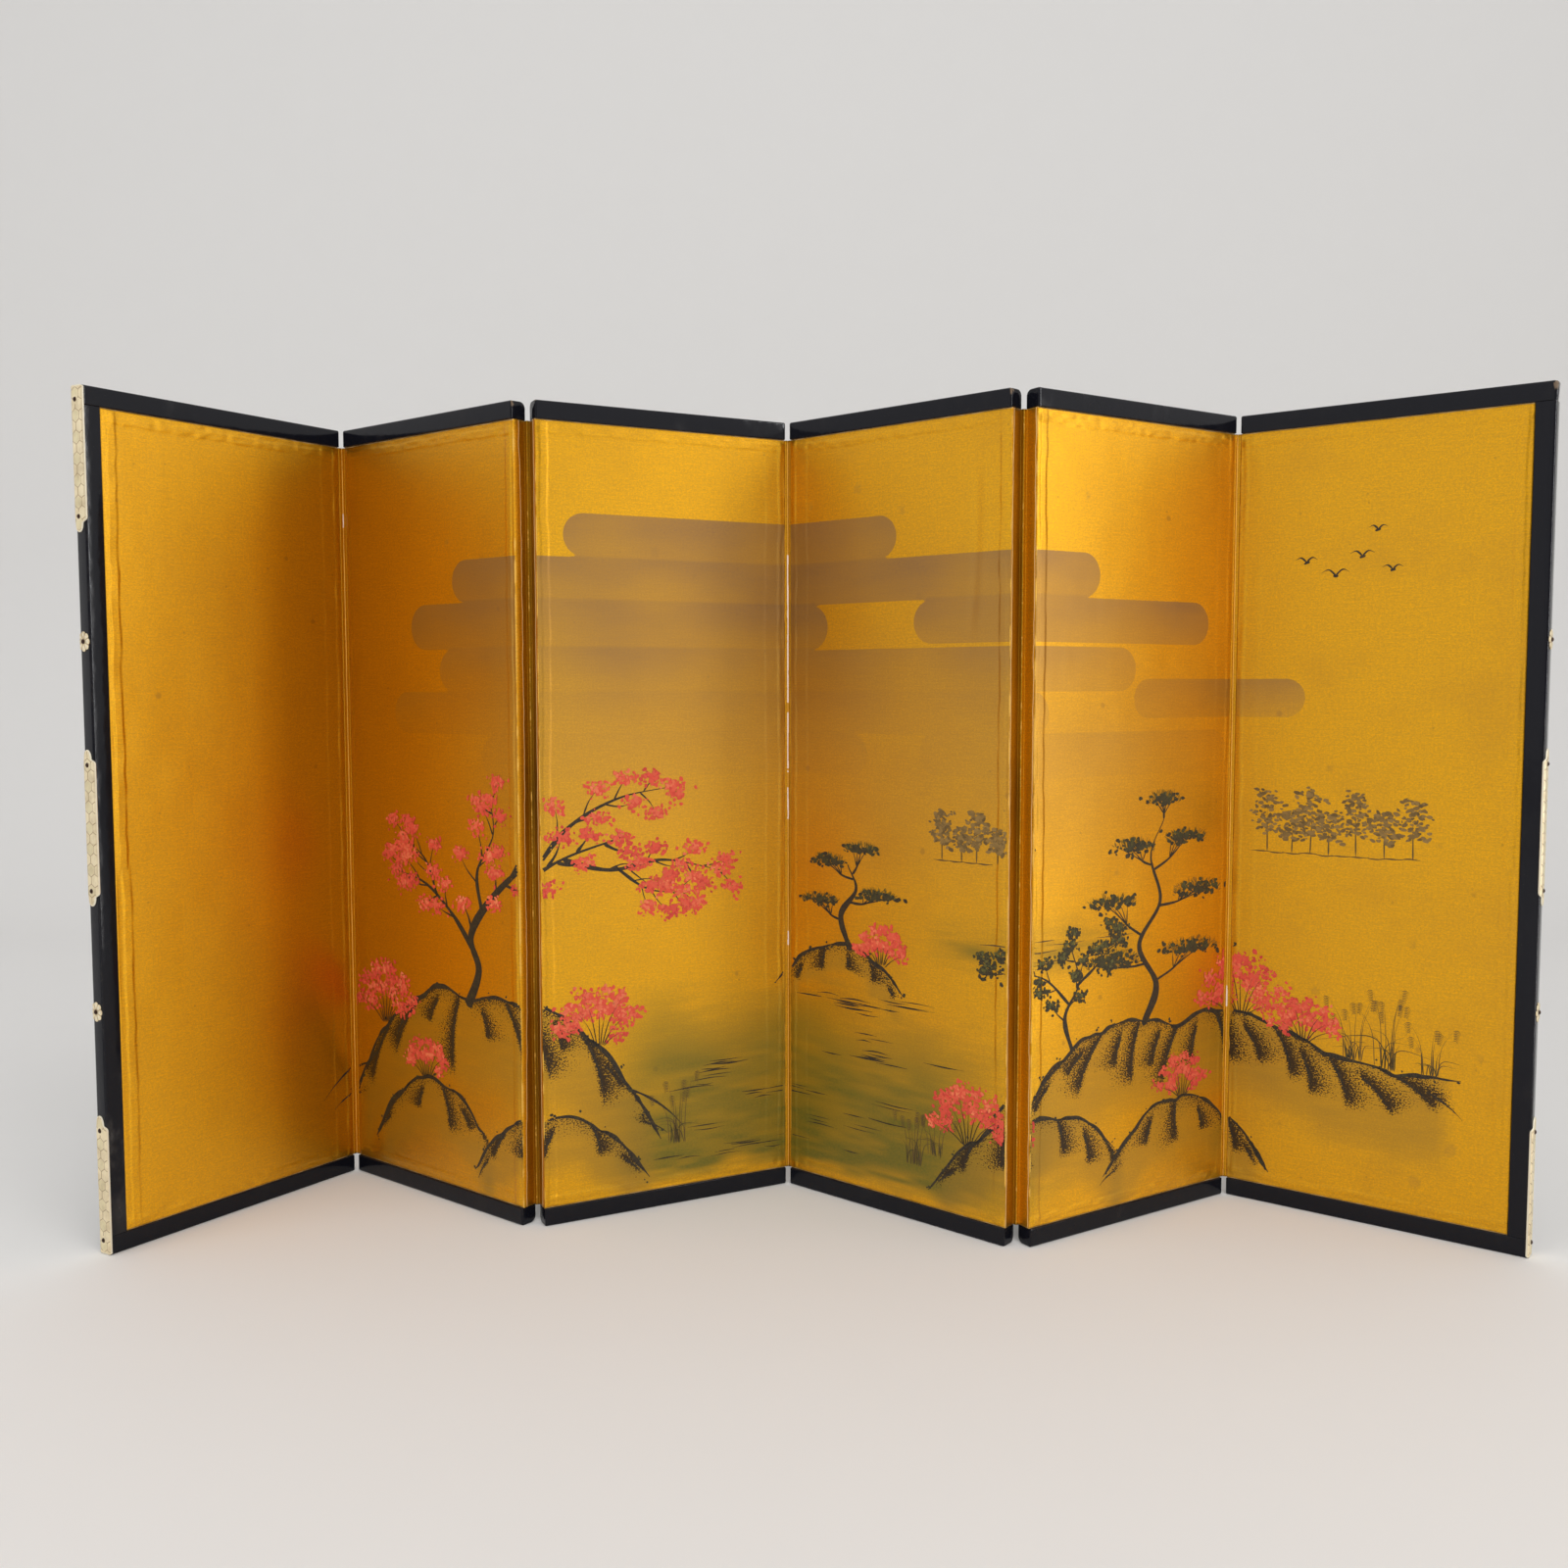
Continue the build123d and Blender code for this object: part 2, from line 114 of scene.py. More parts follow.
def graded(length, edge, fine, coarse):
    """Stations from 0 to length, close together within 'edge' of both ends."""
    left = np.linspace(0, edge, int(round(edge / fine)) + 1)
    middle_count = max(int(round((length - 2 * edge) / coarse)), 1)
    middle = np.linspace(edge, length - edge, middle_count + 1)[1:-1]
    return np.concatenate([left, middle, length - left[::-1]])


def smooth_line(points, step):
    """Catmull-Rom curve through the points, at about even steps."""
    points = np.asarray(points, float)
    padded = np.vstack([2 * points[0] - points[1], points, 2 * points[-1] - points[-2]])
    pieces = []
    for i in range(len(points) - 1):
        a, b, c, d = padded[i:i + 4]
        count = max(int(np.linalg.norm(c - b) / step), 2)
        t = np.linspace(0, 1, count, endpoint=False)[:, None]
        pieces.append(0.5 * (2 * b + (c - a) * t + (2 * a - 5 * b + 4 * c - d) * t ** 2
                             + (3 * b - a - 3 * c + d) * t ** 3))
    return np.vstack(pieces + [points[-1:]])


# ---- where each panel stands ----
def node_points(name):
    """Vertices of a packed node, in millimetres."""
    mesh = frame["nodes"][name].data
    co = np.zeros(len(mesh.vertices) * 3)
    mesh.vertices.foreach_get("co", co)
    return co.reshape(-1, 3) / MM


class ScreenPanel:
    """
    Plan frame of one panel, measured on its packed nodes. u runs along the gold
    cloth from its left edge, v from the front of the cloth to the back, z up.
    side is -1 where the left end carries a stile, +1 at the right end, 0 for none.
    """

    def __init__(self, number):
        self.number = number
        paper = np.unique(np.round(node_points(f"back_paper_{number}")[:, :2], 3), axis=0)
        cloth = node_points(f"face_cloth_{number}")
        along = np.linalg.svd(paper - paper.mean(0))[2][0]
        back = np.array([-along[1], along[0]])
        if (paper.mean(0) - (cloth.min(0) + cloth.max(0))[:2] / 2) @ back < 0:
            along, back = -along, -back
        self.along, self.back = along, back
        across, deep = cloth[:, :2] @ along, cloth[:, :2] @ back
        self.origin = along * across.min() + back * deep.min()
        self.width, self.depth = np.ptp(across), (paper @ back).max() - deep.min()
        self.bottom, self.top = cloth[:, 2].min(), cloth[:, 2].max()
        self.height = self.top - self.bottom

        rail = node_points(f"top_rail_{number}")
        rail_u, rail_v = rail[:, :2] @ along - across.min(), rail[:, :2] @ back - deep.min()
        self.rail_front, self.rail_depth = rail_v.min(), np.ptp(rail_v)
        self.rail_left, self.rail_length = rail_u.min(), np.ptp(rail_u)
        self.rail_top = rail[:, 2].max()
        self.side = {1: -1, PANEL_COUNT: 1}.get(number, 0)
        self.hand = "left" if self.side < 0 else "right"
        self.stile = -self.rail_left if self.side < 0 else rail_u.max() - self.width

    def place(self, u, v, z):
        """Points in the row frame, in millimetres, from panel coordinates."""
        u, v, z = np.broadcast_arrays(*(np.asarray(a, float) for a in (u, v, z)))
        plan = self.origin + u[..., None] * self.along + v[..., None] * self.back
        return np.concatenate([plan, z[..., None]], axis=-1)

    def from_stile(self, inward):
        """u of a place that is so far inwards of the stile's outer face."""
        return inward - self.stile if self.side < 0 else self.width + self.stile - inward

    def borders(self, u, z):
        """Distances to the left, right, lower and upper edge of the cloth."""
        return u, self.width - u, z - self.bottom, self.top - z

    def painting(self, u, z):
        """Coordinates of the opened-out painting: across all panels, and up from the lower rail."""
        return np.asarray(u) + (self.number - 1) * self.width, np.asarray(z) - self.bottom


PANELS = {number: ScreenPanel(number) for number in range(1, PANEL_COUNT + 1)}


def is_valley(fold):
    """Odd folds point away from the viewer and have their hinge in front."""
    return fold % 2 == 1


# ---- sizes and colours that a user can change ----
def length_setting(name, text, default):
    return FloatProperty(name=name, description=text, default=default, min=0.0,
                         subtype="DISTANCE", unit="LENGTH", precision=5)


def share_setting(name, text, default):
    return FloatProperty(name=name, description=text, default=default, min=0.0, max=1.0,
                         subtype="FACTOR")


def power_setting(name, text, default):
    return FloatProperty(name=name, description=text, default=default, min=0.0, unit="POWER")


def colour_setting(name, text, default):
    return FloatVectorProperty(name=name, description=text, default=default, size=3,
                               min=0.0, max=1.0, subtype="COLOR")


class SCREEN_PG_cloth(PropertyGroup):
    """Gold cloth on the faces and in the folds."""

    gold: colour_setting("Gold", "Colour of the metallic weave", (0.99, 0.515, 0.007))
    worn_gold: colour_setting("Worn gold", "Weave where it is rubbed or stained", (0.60, 0.29, 0.025))
    raw_edge: colour_setting("Raw edge", "Threads and paper at a cut edge", (0.72, 0.47, 0.20))
    rubbed: colour_setting("Rubbed fold", "Gold thinned by rubbing on a crease", (0.96, 0.58, 0.10))
    # painted shade: this colour darkens the cloth inside the folds and beside the first fold, where shade
    # falls
    painted_shade_colour: colour_setting("Soiled", "Dull old cloth inside a fold", (0.15, 0.060, 0.002))
    split: colour_setting("Split fold", "Paper that shows where a crease has split", (0.86, 0.70, 0.58))
    foxing: colour_setting("Foxing", "Small brown spots of age", (0.30, 0.14, 0.035))
    roughness: share_setting("Roughness", "Roughness of the weave", 0.40)
    grain: share_setting("Grain", "How much more the threads blur upwards than sideways", 0.6)
    varnish: share_setting("Varnish", "Clear coat over the weave", 0.22)
    metal: share_setting("Metal", "How metallic the weave is", 0.97)
    thread: length_setting("Thread pitch", "Distance between two weft threads", 0.00075)
    hem_height: length_setting("Hem height", "How far the strips below stand out", 0.00028)
    waviness: length_setting("Waviness", "Slow waves of the pasted cloth", 0.00016)
    strip: length_setting("Hinge cloth", "Thickness of the hinge strips", 0.0003)


class SCREEN_PG_lacquer(PropertyGroup):
    """Lacquered rails and stiles."""

    black: colour_setting("Black", "Lacquer colour", (0.0065, 0.0068, 0.0105))
    rubbed: colour_setting("Rubbed", "Lacquer where it is dull with wear", (0.075, 0.066, 0.055))
    bare: colour_setting("Bare wood", "Wood where the lacquer has chipped", (0.17, 0.12, 0.08))
    dust: colour_setting("Dust", "Grey specks that lie on the lacquer", (0.16, 0.15, 0.14))
    haze: colour_setting("Haze", "Pale film on the lowest part of a stile", (0.10, 0.092, 0.085))
    roughness: share_setting("Roughness", "Roughness of the lacquer", 0.10)
    front_radius: length_setting("Front radius", "Outer front edge of a rail", 0.0012)
    back_radius: length_setting("Back radius", "Outer back edge of a rail", 0.0035)
    inner_radius: length_setting("Inner radius", "Edges beside the cloth", 0.0005)
    end_radius: length_setting("End radius", "Corners at a fold", 0.0008)
    stile_front: length_setting("Stile front", "Outer front edge of a stile", 0.0012)
    stile_back: length_setting("Stile back", "Outer back edge of a stile", 0.0030)


class SCREEN_PG_fittings(PropertyGroup):
    """Gilt sheet metal on the outer side faces."""

    metal: colour_setting("Sheet metal", "Pale gilt metal", (0.95, 0.82, 0.56))
    groove: colour_setting("Groove", "Tarnish in the embossed lines", (0.30, 0.19, 0.08))
    cell: colour_setting("Cell", "Slightly green centre of a cell", (0.84, 0.74, 0.47))
    rim: colour_setting("Rim", "Bright worn rim of a plate", (0.90, 0.84, 0.68))
    pit: colour_setting("Pit", "Dark pits in the metal", (0.22, 0.13, 0.06))
    nail: colour_setting("Nail", "Dark patina of the nail heads", (0.045, 0.022, 0.014))
    thickness: length_setting("Thickness", "Thickness of the sheet metal", 0.0006)
    wrap: length_setting("Wrap", "How far a plate reaches round the stile", 0.0010)
    tongue: length_setting("Tongue", "Length of a tongue", 0.0050)
    shoulder: length_setting("Shoulder", "From the tongue to the full width", 0.0033)
    cell_height: length_setting("Cell height", "Height of one embossed hexagon", 0.0073)
    flower_radius: length_setting("Flower radius", "Outer radius of a washer", 0.0052)
    petals: IntProperty(name="Petals", description="Petals of a washer", default=8, min=4, max=16)


class SCREEN_PG_painting(PropertyGroup):
    """Pigments of the painting."""

    ink: colour_setting("Ink", "Black ink", (0.014, 0.012, 0.010))
    mist: colour_setting("Mist", "Umber of the mist bands", (0.345, 0.185, 0.066))
    stream: colour_setting("Stream", "Olive green of the stream", (0.095, 0.118, 0.014))
    bank: colour_setting("Bank", "Ochre brown of the banks", (0.30, 0.175, 0.020))
    shade: colour_setting("Shade", "Dark brown of brushed shadows", (0.022, 0.012, 0.007))
    coral: colour_setting("Coral", "Red of the blossom", (0.80, 0.080, 0.045))
    blush: colour_setting("Blush", "Light red of the blossom", (0.95, 0.26, 0.11))
    crimson: colour_setting("Crimson", "Darkest red of the blossom", (0.52, 0.022, 0.030))
    rose: colour_setting("Rose", "Warm red over the darkest one", (0.70, 0.055, 0.045))
    pine: colour_setting("Pine", "Dark olive of the pine", (0.038, 0.038, 0.012))
    moss: colour_setting("Moss", "Light olive of the pine", (0.125, 0.120, 0.026))
    sepia: colour_setting("Sepia", "Thin brown ink of what is far away", (0.105, 0.062, 0.018))
    pale: colour_setting("Pale", "Thinnest brown of far leaves", (0.55, 0.33, 0.09))
    faded: colour_setting("Faded", "Cloth that shows through a pigment", (0.42, 0.26, 0.08))
    stain: colour_setting("Stain", "Old water stains on the cloth", (0.38, 0.19, 0.03))
    show: BoolProperty(name="Show", description="Make the painting", default=True)


class SCREEN_PG_stage(PropertyGroup):
    """Paper of the back, floor, lights and camera."""

    back_paper: colour_setting("Back paper", "Ground of the back paper", (0.060, 0.085, 0.070))
    back_print: colour_setting("Back print", "Circles printed on the back paper", (0.20, 0.19, 0.115))
    back_fibre: colour_setting("Back fibre", "Pale fibres in the back paper", (0.15, 0.16, 0.12))
    back_age: colour_setting("Back age", "Brown patches of the back paper", (0.11, 0.085, 0.05))
    circle: length_setting("Circle", "Radius of a printed circle", 0.009)
    floor: colour_setting("Floor", "Colour of the floor and the backdrop", (0.82, 0.812, 0.805))
    soft_light: share_setting("Soft light", "Strength of the world's light on the object", 0.62)
    dim_front: share_setting("Dim front", "Brightness of the room behind the camera", 0.22)
    dim_left: share_setting("Dim left", "Brightness of the room's left side", 0.84)
    backdrop: share_setting("Backdrop", "Brightness of what the camera sees past the sweep", 0.54)
    lens: FloatProperty(name="Lens", description="Focal length for a 36 mm film", default=32.87,
                        min=10.0, max=200.0, unit="CAMERA")
    key_power: power_setting("Key light", "Power of the large soft light", 7.0)
    window_power: power_setting("Window", "Power of the tall lamp on the right", 0.90)
    edge_power: power_setting("Edge lamp", "Power of the lamp for the lacquer's edges", 4.0)


GROUPS = {
    "screen_cloth": SCREEN_PG_cloth,
    "screen_lacquer": SCREEN_PG_lacquer,
    "screen_fittings": SCREEN_PG_fittings,
    "screen_painting": SCREEN_PG_painting,
    "screen_stage": SCREEN_PG_stage,
}


def settings(name):
    return getattr(bpy.context.scene, f"screen_{name}")


# ---- meshes ----
def new_piece(name, points, faces, material, attributes=None, uv=None):
    """
    Smooth mesh object at the origin from points in millimetres. attributes maps a name
    to one number or one colour for each point; uv holds two numbers for each.
    """
    points = np.asarray(points, float).reshape(-1, 3) * MM
    mesh = bpy.data.meshes.new(name)
    mesh.from_pydata(points.tolist(), [], faces if isinstance(faces, list) else faces.tolist())
    for key, values in (attributes or {}).items():
        values = np.asarray(values, np.float32)
        if values.size == len(points):
            layer = mesh.attributes.new(key, "FLOAT", "POINT")
            layer.data.foreach_set("value", values.ravel())
        else:
            opaque = np.ones((len(points), 1), np.float32)
            layer = mesh.attributes.new(key, "FLOAT_COLOR", "POINT")
            layer.data.foreach_set("color", np.hstack([values.reshape(-1, 3), opaque]).ravel())
    if uv is not None:
        corner = np.zeros(len(mesh.loops), int)
        mesh.loops.foreach_get("vertex_index", corner)
        layer = mesh.uv_layers.new(name="UVMap")
        layer.data.foreach_set("uv", np.asarray(uv, np.float32).reshape(-1, 2)[corner].ravel())
    mesh.polygons.foreach_set("use_smooth", np.ones(len(mesh.polygons), bool))
    mesh.materials.append(bpy.data.materials[f"screen_{material}"])
    mesh.update()
    piece = bpy.data.objects.new(name, mesh)
    bpy.context.scene.collection.objects.link(piece)
    return piece


def grid_faces(rows, columns, wrap_columns=False):
    """Quads of a grid whose point (i, j) has the number i * columns + j."""
    i, j = np.meshgrid(np.arange(rows - 1), np.arange(columns - (not wrap_columns)), indexing="ij")
    right = (j + 1) % columns
    quads = np.stack([i * columns + j, i * columns + right,
                      (i + 1) * columns + right, (i + 1) * columns + j], axis=-1)
    return quads.reshape(-1, 4)


def tidy_mesh(piece, closed=True, loose=False):
    """Turn the faces of a closed mesh outwards, and remove loose points that no face uses."""
    mesh = bmesh.new()
    mesh.from_mesh(piece.data)
    if loose:
        bmesh.ops.delete(mesh, geom=[v for v in mesh.verts if not v.link_faces], context="VERTS")
    if closed:
        bmesh.ops.recalc_face_normals(mesh, faces=mesh.faces[:])
    mesh.to_mesh(piece.data)
    mesh.free()
    return piece


# ---- shader helpers ----
class Wire:
    """Output of a node that sums can be written with: each sign adds a Math node."""

    def __init__(self, wiring, socket):
        self.wiring, self.socket = wiring, socket

    def __add__(self, other):
        return self.wiring.math("ADD", self, other)

    def __mul__(self, other):
        return self.wiring.math("MULTIPLY", self, other)

    def __sub__(self, other):
        return self.wiring.math("SUBTRACT", self, other)

    def __rsub__(self, other):
        return self.wiring.math("SUBTRACT", other, self)

    def __truediv__(self, other):
        return self.wiring.math("DIVIDE", self, other)

    __radd__, __rmul__ = __add__, __mul__


class Wiring:
    """Adds nodes to one tree and wires them; an input is a wire or a plain value."""

    def __init__(self, tree):
        self.tree = tree

    def node(self, kind, inputs=None, **values):
        made = self.tree.nodes.new(kind)
        for key, value in values.items():
            setattr(made, key, value)
        for key, value in (inputs or {}).items():
            self.put(made.inputs[key], value)
        return made

    def wires(self, node):
        """A node's outputs by name."""
        return {socket.name: Wire(self, socket) for socket in node.outputs}

    def wire(self, kind, inputs=None, output=0, **values):
        """Add a node; returns one of its outputs."""
        return Wire(self, self.node(kind, inputs, **values).outputs[output])

    def put(self, socket, value):
        if isinstance(value, Wire):
            self.tree.links.new(value.socket, socket)
        elif hasattr(value, "__len__") and len(socket.default_value) == len(value) + 1:
            socket.default_value = (*value, 1.0)
        else:
            socket.default_value = value

    def feed(self, node, **values):
        """Give values to a node's inputs by name, with _ for a space."""
        for key, value in values.items():
            self.put(node.inputs[key.replace("_", " ")], value)

    def math(self, operation, a, b=0.0, clamp=False):
        return self.wire("ShaderNodeMath", {0: a, 1: b}, operation=operation, use_clamp=clamp)

    def most(self, first, *others):
        """The largest of some values."""
        for other in others:
            first = self.math("MAXIMUM", first, other)
        return first

    def vector(self, operation, *values):
        return self.wire("ShaderNodeVectorMath", dict(enumerate(values)),
                         "Value" if operation == "LENGTH" else "Vector", operation=operation)

    def step(self, value, low, high, start=0.0, end=1.0):
        """Smooth step of a value between low and high."""
        return self.wire("ShaderNodeMapRange", {0: value, 1: low, 2: high, 3: start, 4: end},
                         interpolation_type="SMOOTHSTEP")

    def layers(self, colour, *layers):
        """A ground colour under layers, each a mask and its colour, from the lowest up."""
        for mask, above in layers:
            colour = self.wire("ShaderNodeMix", {0: mask, 6: colour, 7: above}, 2, data_type="RGBA")
        return colour

    def noise(self, place, scale, detail=2.0, roughness=0.5):
        """Noise at one scale, or with a scale for each axis."""
        if isinstance(scale, tuple):
            place, scale = self.scaled(place, scale), 1.0
        return self.wire("ShaderNodeTexNoise", {"Vector": place, "Scale": scale, "Detail": detail,
                                                "Roughness": roughness}, "Fac")

    def attribute(self, name, output="Fac"):
        return self.wire("ShaderNodeAttribute", None, output, attribute_name=name)

    def scaled(self, vector, scale):
        return self.wire("ShaderNodeMapping", {"Vector": vector, "Scale": scale})

    def object_mm(self):
        """Object coordinates in millimetres."""
        return self.scaled(self.wire("ShaderNodeTexCoord", None, "Object"), (1 / MM,) * 3)

    def uv_mm(self):
        """The piece's own UV map in millimetres."""
        return self.scaled(self.wire("ShaderNodeUVMap", uv_map="UVMap"), (UV_SPAN,) * 3)

    def group(self, name, **inputs):
        made = self.node("ShaderNodeGroup", node_tree=bpy.data.node_groups[name])
        self.feed(made, **inputs)
        return self.wires(made)

    def bump(self, height, distance, strength=1.0):
        """Normal from a height; the distance is in metres."""
        return self.wire("ShaderNodeBump", {"Height": height, "Distance": distance,
                                            "Strength": strength})


def new_group(name, inputs, outputs):
    """Node group with named sockets; returns its wiring, what is given, and its output node."""
    tree = bpy.data.node_groups.new(name, "ShaderNodeTree")
    for direction, sockets in (("INPUT", inputs), ("OUTPUT", outputs)):
        for key, kind in sockets.items():
            tree.interface.new_socket(name=key, in_out=direction, socket_type="NodeSocket" + kind)
    wiring = Wiring(tree)
    return wiring, wiring.wires(wiring.node("NodeGroupInput")), wiring.node("NodeGroupOutput")


def new_material(name, **constants):
    """Material with one Principled shader; returns its wiring and the shader."""
    material = bpy.data.materials.new(f"screen_{name}")
    material.use_nodes = True
    wiring = Wiring(material.node_tree)
    shader = material.node_tree.nodes["Principled BSDF"]
    wiring.feed(shader, **constants)
    return wiring, shader


def build_weave_group():
    """
    Weave: weft threads as a sine of the height, bent by slow noise and broken up
    by slubs, which are noise stretched along the threads.
    """
    w, given, end = new_group("Weave", {"Place": "Vector", "Pitch": "Float"},
                              {"Height": "Float", "Slub": "Float"})
    place = given["Place"]
    slub = w.noise(place, (0.07, 1.15, 1.0), 2.0, 0.6)
    warp = w.noise(place, (1.3, 0.10, 1.0), 1.0, 0.5)
    height = w.wires(w.node("ShaderNodeSeparateXYZ", {0: place}))["Y"]
    rise = (height + w.noise(place, 0.05, 1.0) * 1.6) / given["Pitch"]
    thread = w.math("SINE", rise * (2 * math.pi))
    w.feed(end, Height=thread * 0.22 + slub * 0.9 + warp * 0.35, Slub=slub * 0.7 + warp * 0.3)


def build_foxing_group():
    """Foxing: scattered round spots of two sizes, and faint patches where cloth has aged."""
    w, given, end = new_group("Foxing", {"Place": "Vector", "Amount": "Float"},
                              {"Spots": "Float", "Patches": "Float"})
    shake = w.noise(given["Place"], 0.30, 2.0)
    place = w.vector("ADD", given["Place"], w.wire("ShaderNodeCombineXYZ", {0: shake, 1: shake}))
    spots = []
    for pitch, share, radius in ((26.0, 0.34, 0.085), (9.0, 0.16, 0.10)):
        cell = w.wires(w.node("ShaderNodeTexVoronoi", {"Vector": place, "Scale": 1.0 / pitch}))
        tone = w.wire("ShaderNodeSeparateColor", {0: cell["Color"]})
        chosen = w.math("LESS_THAN", tone, given["Amount"] * share)
        spots.append(chosen * w.step(cell["Distance"], radius, radius * 0.45))
    patches = w.step(w.noise(given["Place"], 0.016, 4.0, 0.6), 0.45, 0.72)
    w.feed(end, Spots=w.most(*spots), Patches=patches)


def build_rubbing_group():
    """Rubbing: where an edge, given as a mask, has worn through in broken flecks."""
    w, given, end = new_group("Rubbing", {"Place": "Vector", "Edge": "Float", "Amount": "Float"},
                              {"Dull": "Float", "Bare": "Float"})
    broad = w.noise(given["Place"], 0.10, 4.0, 0.65)
    fleck = w.noise(given["Place"], 0.9, 3.0, 0.7)
    wear = broad * 0.55 + fleck * 0.45 + given["Edge"] * given["Amount"]
    w.feed(end, Dull=w.step(wear, 0.72, 1.10), Bare=w.step(wear, 1.18, 1.26))


# ---- materials ----
def gold_cloth_material():
    """Metallic weave with slubs, foxing and raw edges, and the washes painted on it."""
    cloth, paint = settings("cloth"), settings("painting")
    w, shader = new_material("gold_cloth", Specular_IOR_Level=0.4, Anisotropic=cloth.grain,
                             Anisotropic_Rotation=0.25, Coat_Roughness=0.30)
    place = w.uv_mm()
    weave = w.group("Weave", Place=place, Pitch=cloth.thread / MM)
    foxing = w.group("Foxing", Place=place, Amount=1.0)
    grain = w.noise(place, (0.55, 0.85, 1.0), 3.0, 0.65)
    fine = w.noise(place, (1.0, 1.35, 1.0), 2.0, 0.6)
    uneven = (grain - 0.5) * 0.5

    wash = w.math("MULTIPLY", w.attribute("wash_cover"), uneven + 1.0, clamp=True)
    inside = w.step(w.attribute("mist_edge") + (grain - 0.5) * 0.9, -0.15, 0.30)
    mist = w.math("MULTIPLY", inside, w.attribute("mist_tone") * (uneven + 1.0), clamp=True)
    stipple = w.step(fine, 0.34, 0.66) * 0.75 + w.step(grain, 0.34, 0.66) * 0.25
    density = w.attribute("dry")
    dry = w.step(density - stipple, -0.08, 0.14) * w.step(density, 0.02, 0.12)
    raw = w.step(w.attribute("raw") + uneven * 0.8, 0.42, 0.60)
    rub = w.step(w.attribute("rub") + uneven, 0.25, 0.75)
    split = w.step(w.attribute("split") + uneven * 0.6, 0.45, 0.60)
    colour = w.layers(
        cloth.gold,
        (w.step(weave["Slub"], 0.35, 0.65, 0.28, 0.0), cloth.worn_gold),
        (foxing["Patches"] * w.attribute("age") * 0.30, cloth.worn_gold),
        (foxing["Spots"] * 0.42, cloth.foxing),
        (w.step(fine, 0.38, 0.62, 0.42, 0.0), cloth.worn_gold),
        (w.step(grain, 0.40, 0.60, 0.30, 0.0), cloth.worn_gold),
        (wash, w.attribute("wash", "Color")),
        (mist, paint.mist),
        (dry * 0.96, paint.shade),
        # painted shade: darker cloth inside the folds and beside the first fold
        (w.attribute("painted_shade"), cloth.painted_shade_colour),
        (rub, cloth.rubbed),
        (raw, cloth.raw_edge),
        (split, cloth.split),
    )
    raw = w.most(raw, split)
    pigment = w.most(wash, mist * 0.40, dry * 1.4)
    matt = w.most(w.math("MULTIPLY", pigment, 0.62, clamp=True), raw, rub * 0.3)
    w.feed(shader, Base_Color=colour, Metallic=(1.0 - matt) * cloth.metal,
           Coat_Weight=(1.0 - w.most(raw, dry)) * cloth.varnish,
           Roughness=cloth.roughness + weave["Slub"] * 0.10 + matt * 0.25,
           Tangent=w.wire("ShaderNodeTangent", direction_type="UV_MAP", uv_map="UVMap"),
           Normal=w.bump(weave["Height"], 0.00005, 0.7))


def lacquer_material():
    """Black lacquer: faint brush waves, dust, hazy smears, and edges rubbed to the wood."""
    lacquer = settings("lacquer")
    w, shader = new_material("black_lacquer", Specular_IOR_Level=0.20)
    place = w.object_mm()
    rubbing = w.group("Rubbing", Place=place, Edge=w.attribute("edge"), Amount=0.42)
    cloud = w.noise(place, (0.05, 0.05, 0.03), 4.0, 0.6)
    smear = w.step(cloud, 0.52, 0.75)
    hazed = w.attribute("haze") * w.step(cloud, 0.40, 0.62)
    bare = w.most(rubbing["Bare"], w.step(w.attribute("chip") + cloud * 0.8, 1.05, 1.25))
    colour = w.layers(
        lacquer.black,
        (smear * 0.05, lacquer.rubbed),
        (rubbing["Dull"] * 0.40, lacquer.rubbed),
        (w.step(w.noise(place, 1.1, 2.0, 0.7), 0.70, 0.78) * 0.25, lacquer.dust),
        (hazed * 0.55, lacquer.haze),
        (bare, lacquer.bare),
    )
    rough = lacquer.roughness + smear * 0.14 + rubbing["Dull"] * 0.25 + hazed * 0.3
    waves = w.noise(place, (0.16, 0.16, 0.10), 2.0) + w.noise(place, 0.7, 2.0) * 0.07
    w.feed(shader, Base_Color=colour, Roughness=w.most(rough, bare * 0.7),
           Normal=w.bump(waves, 0.00018, 0.6))


def sheet_metal_material():
    """Pale gilt metal: tarnished grooves, greener cells, bright worn rims and fine pitting."""
    fittings = settings("fittings")
    w, shader = new_material("pale_gilt")
    place = w.object_mm()
    cloud = w.noise(place, 0.12, 3.0, 0.6)
    fine = w.noise(place, 1.6, 2.0, 0.6)
    groove = w.step(w.attribute("groove") + fine * 0.25, 0.55, 0.95)
    colour = w.layers(
        fittings.metal,
        (w.attribute("cell"), fittings.cell),
        (w.step(cloud, 0.35, 0.75, 0.0, 0.35), fittings.groove),
        (groove * 0.8, fittings.groove),
        (w.step(fine, 0.68, 0.78) * 0.45, fittings.pit),
        (w.step(w.attribute("rim") + fine * 0.3, 0.5, 0.9), fittings.rim),
    )
    w.feed(shader, Base_Color=colour, Metallic=0.62 - groove * 0.3,
           Roughness=w.step(cloud, 0.2, 0.8, 0.38, 0.55), Normal=w.bump(cloud + fine, 0.00006, 0.5))


def nail_material():
    """Nearly black patina, rubbed to warm metal in flecks."""
    w, shader = new_material("dark_nail", Metallic=0.75)
    fleck = w.step(w.noise(w.object_mm(), 1.8, 3.0, 0.6), 0.52, 0.72)
    worn = (0.22, 0.12, 0.06)
    w.feed(shader, Base_Color=w.layers(settings("fittings").nail, (fleck * 0.45, worn)),
           Roughness=w.step(fleck, 0.0, 1.0, 0.34, 0.55), Normal=w.bump(fleck, 0.00004))


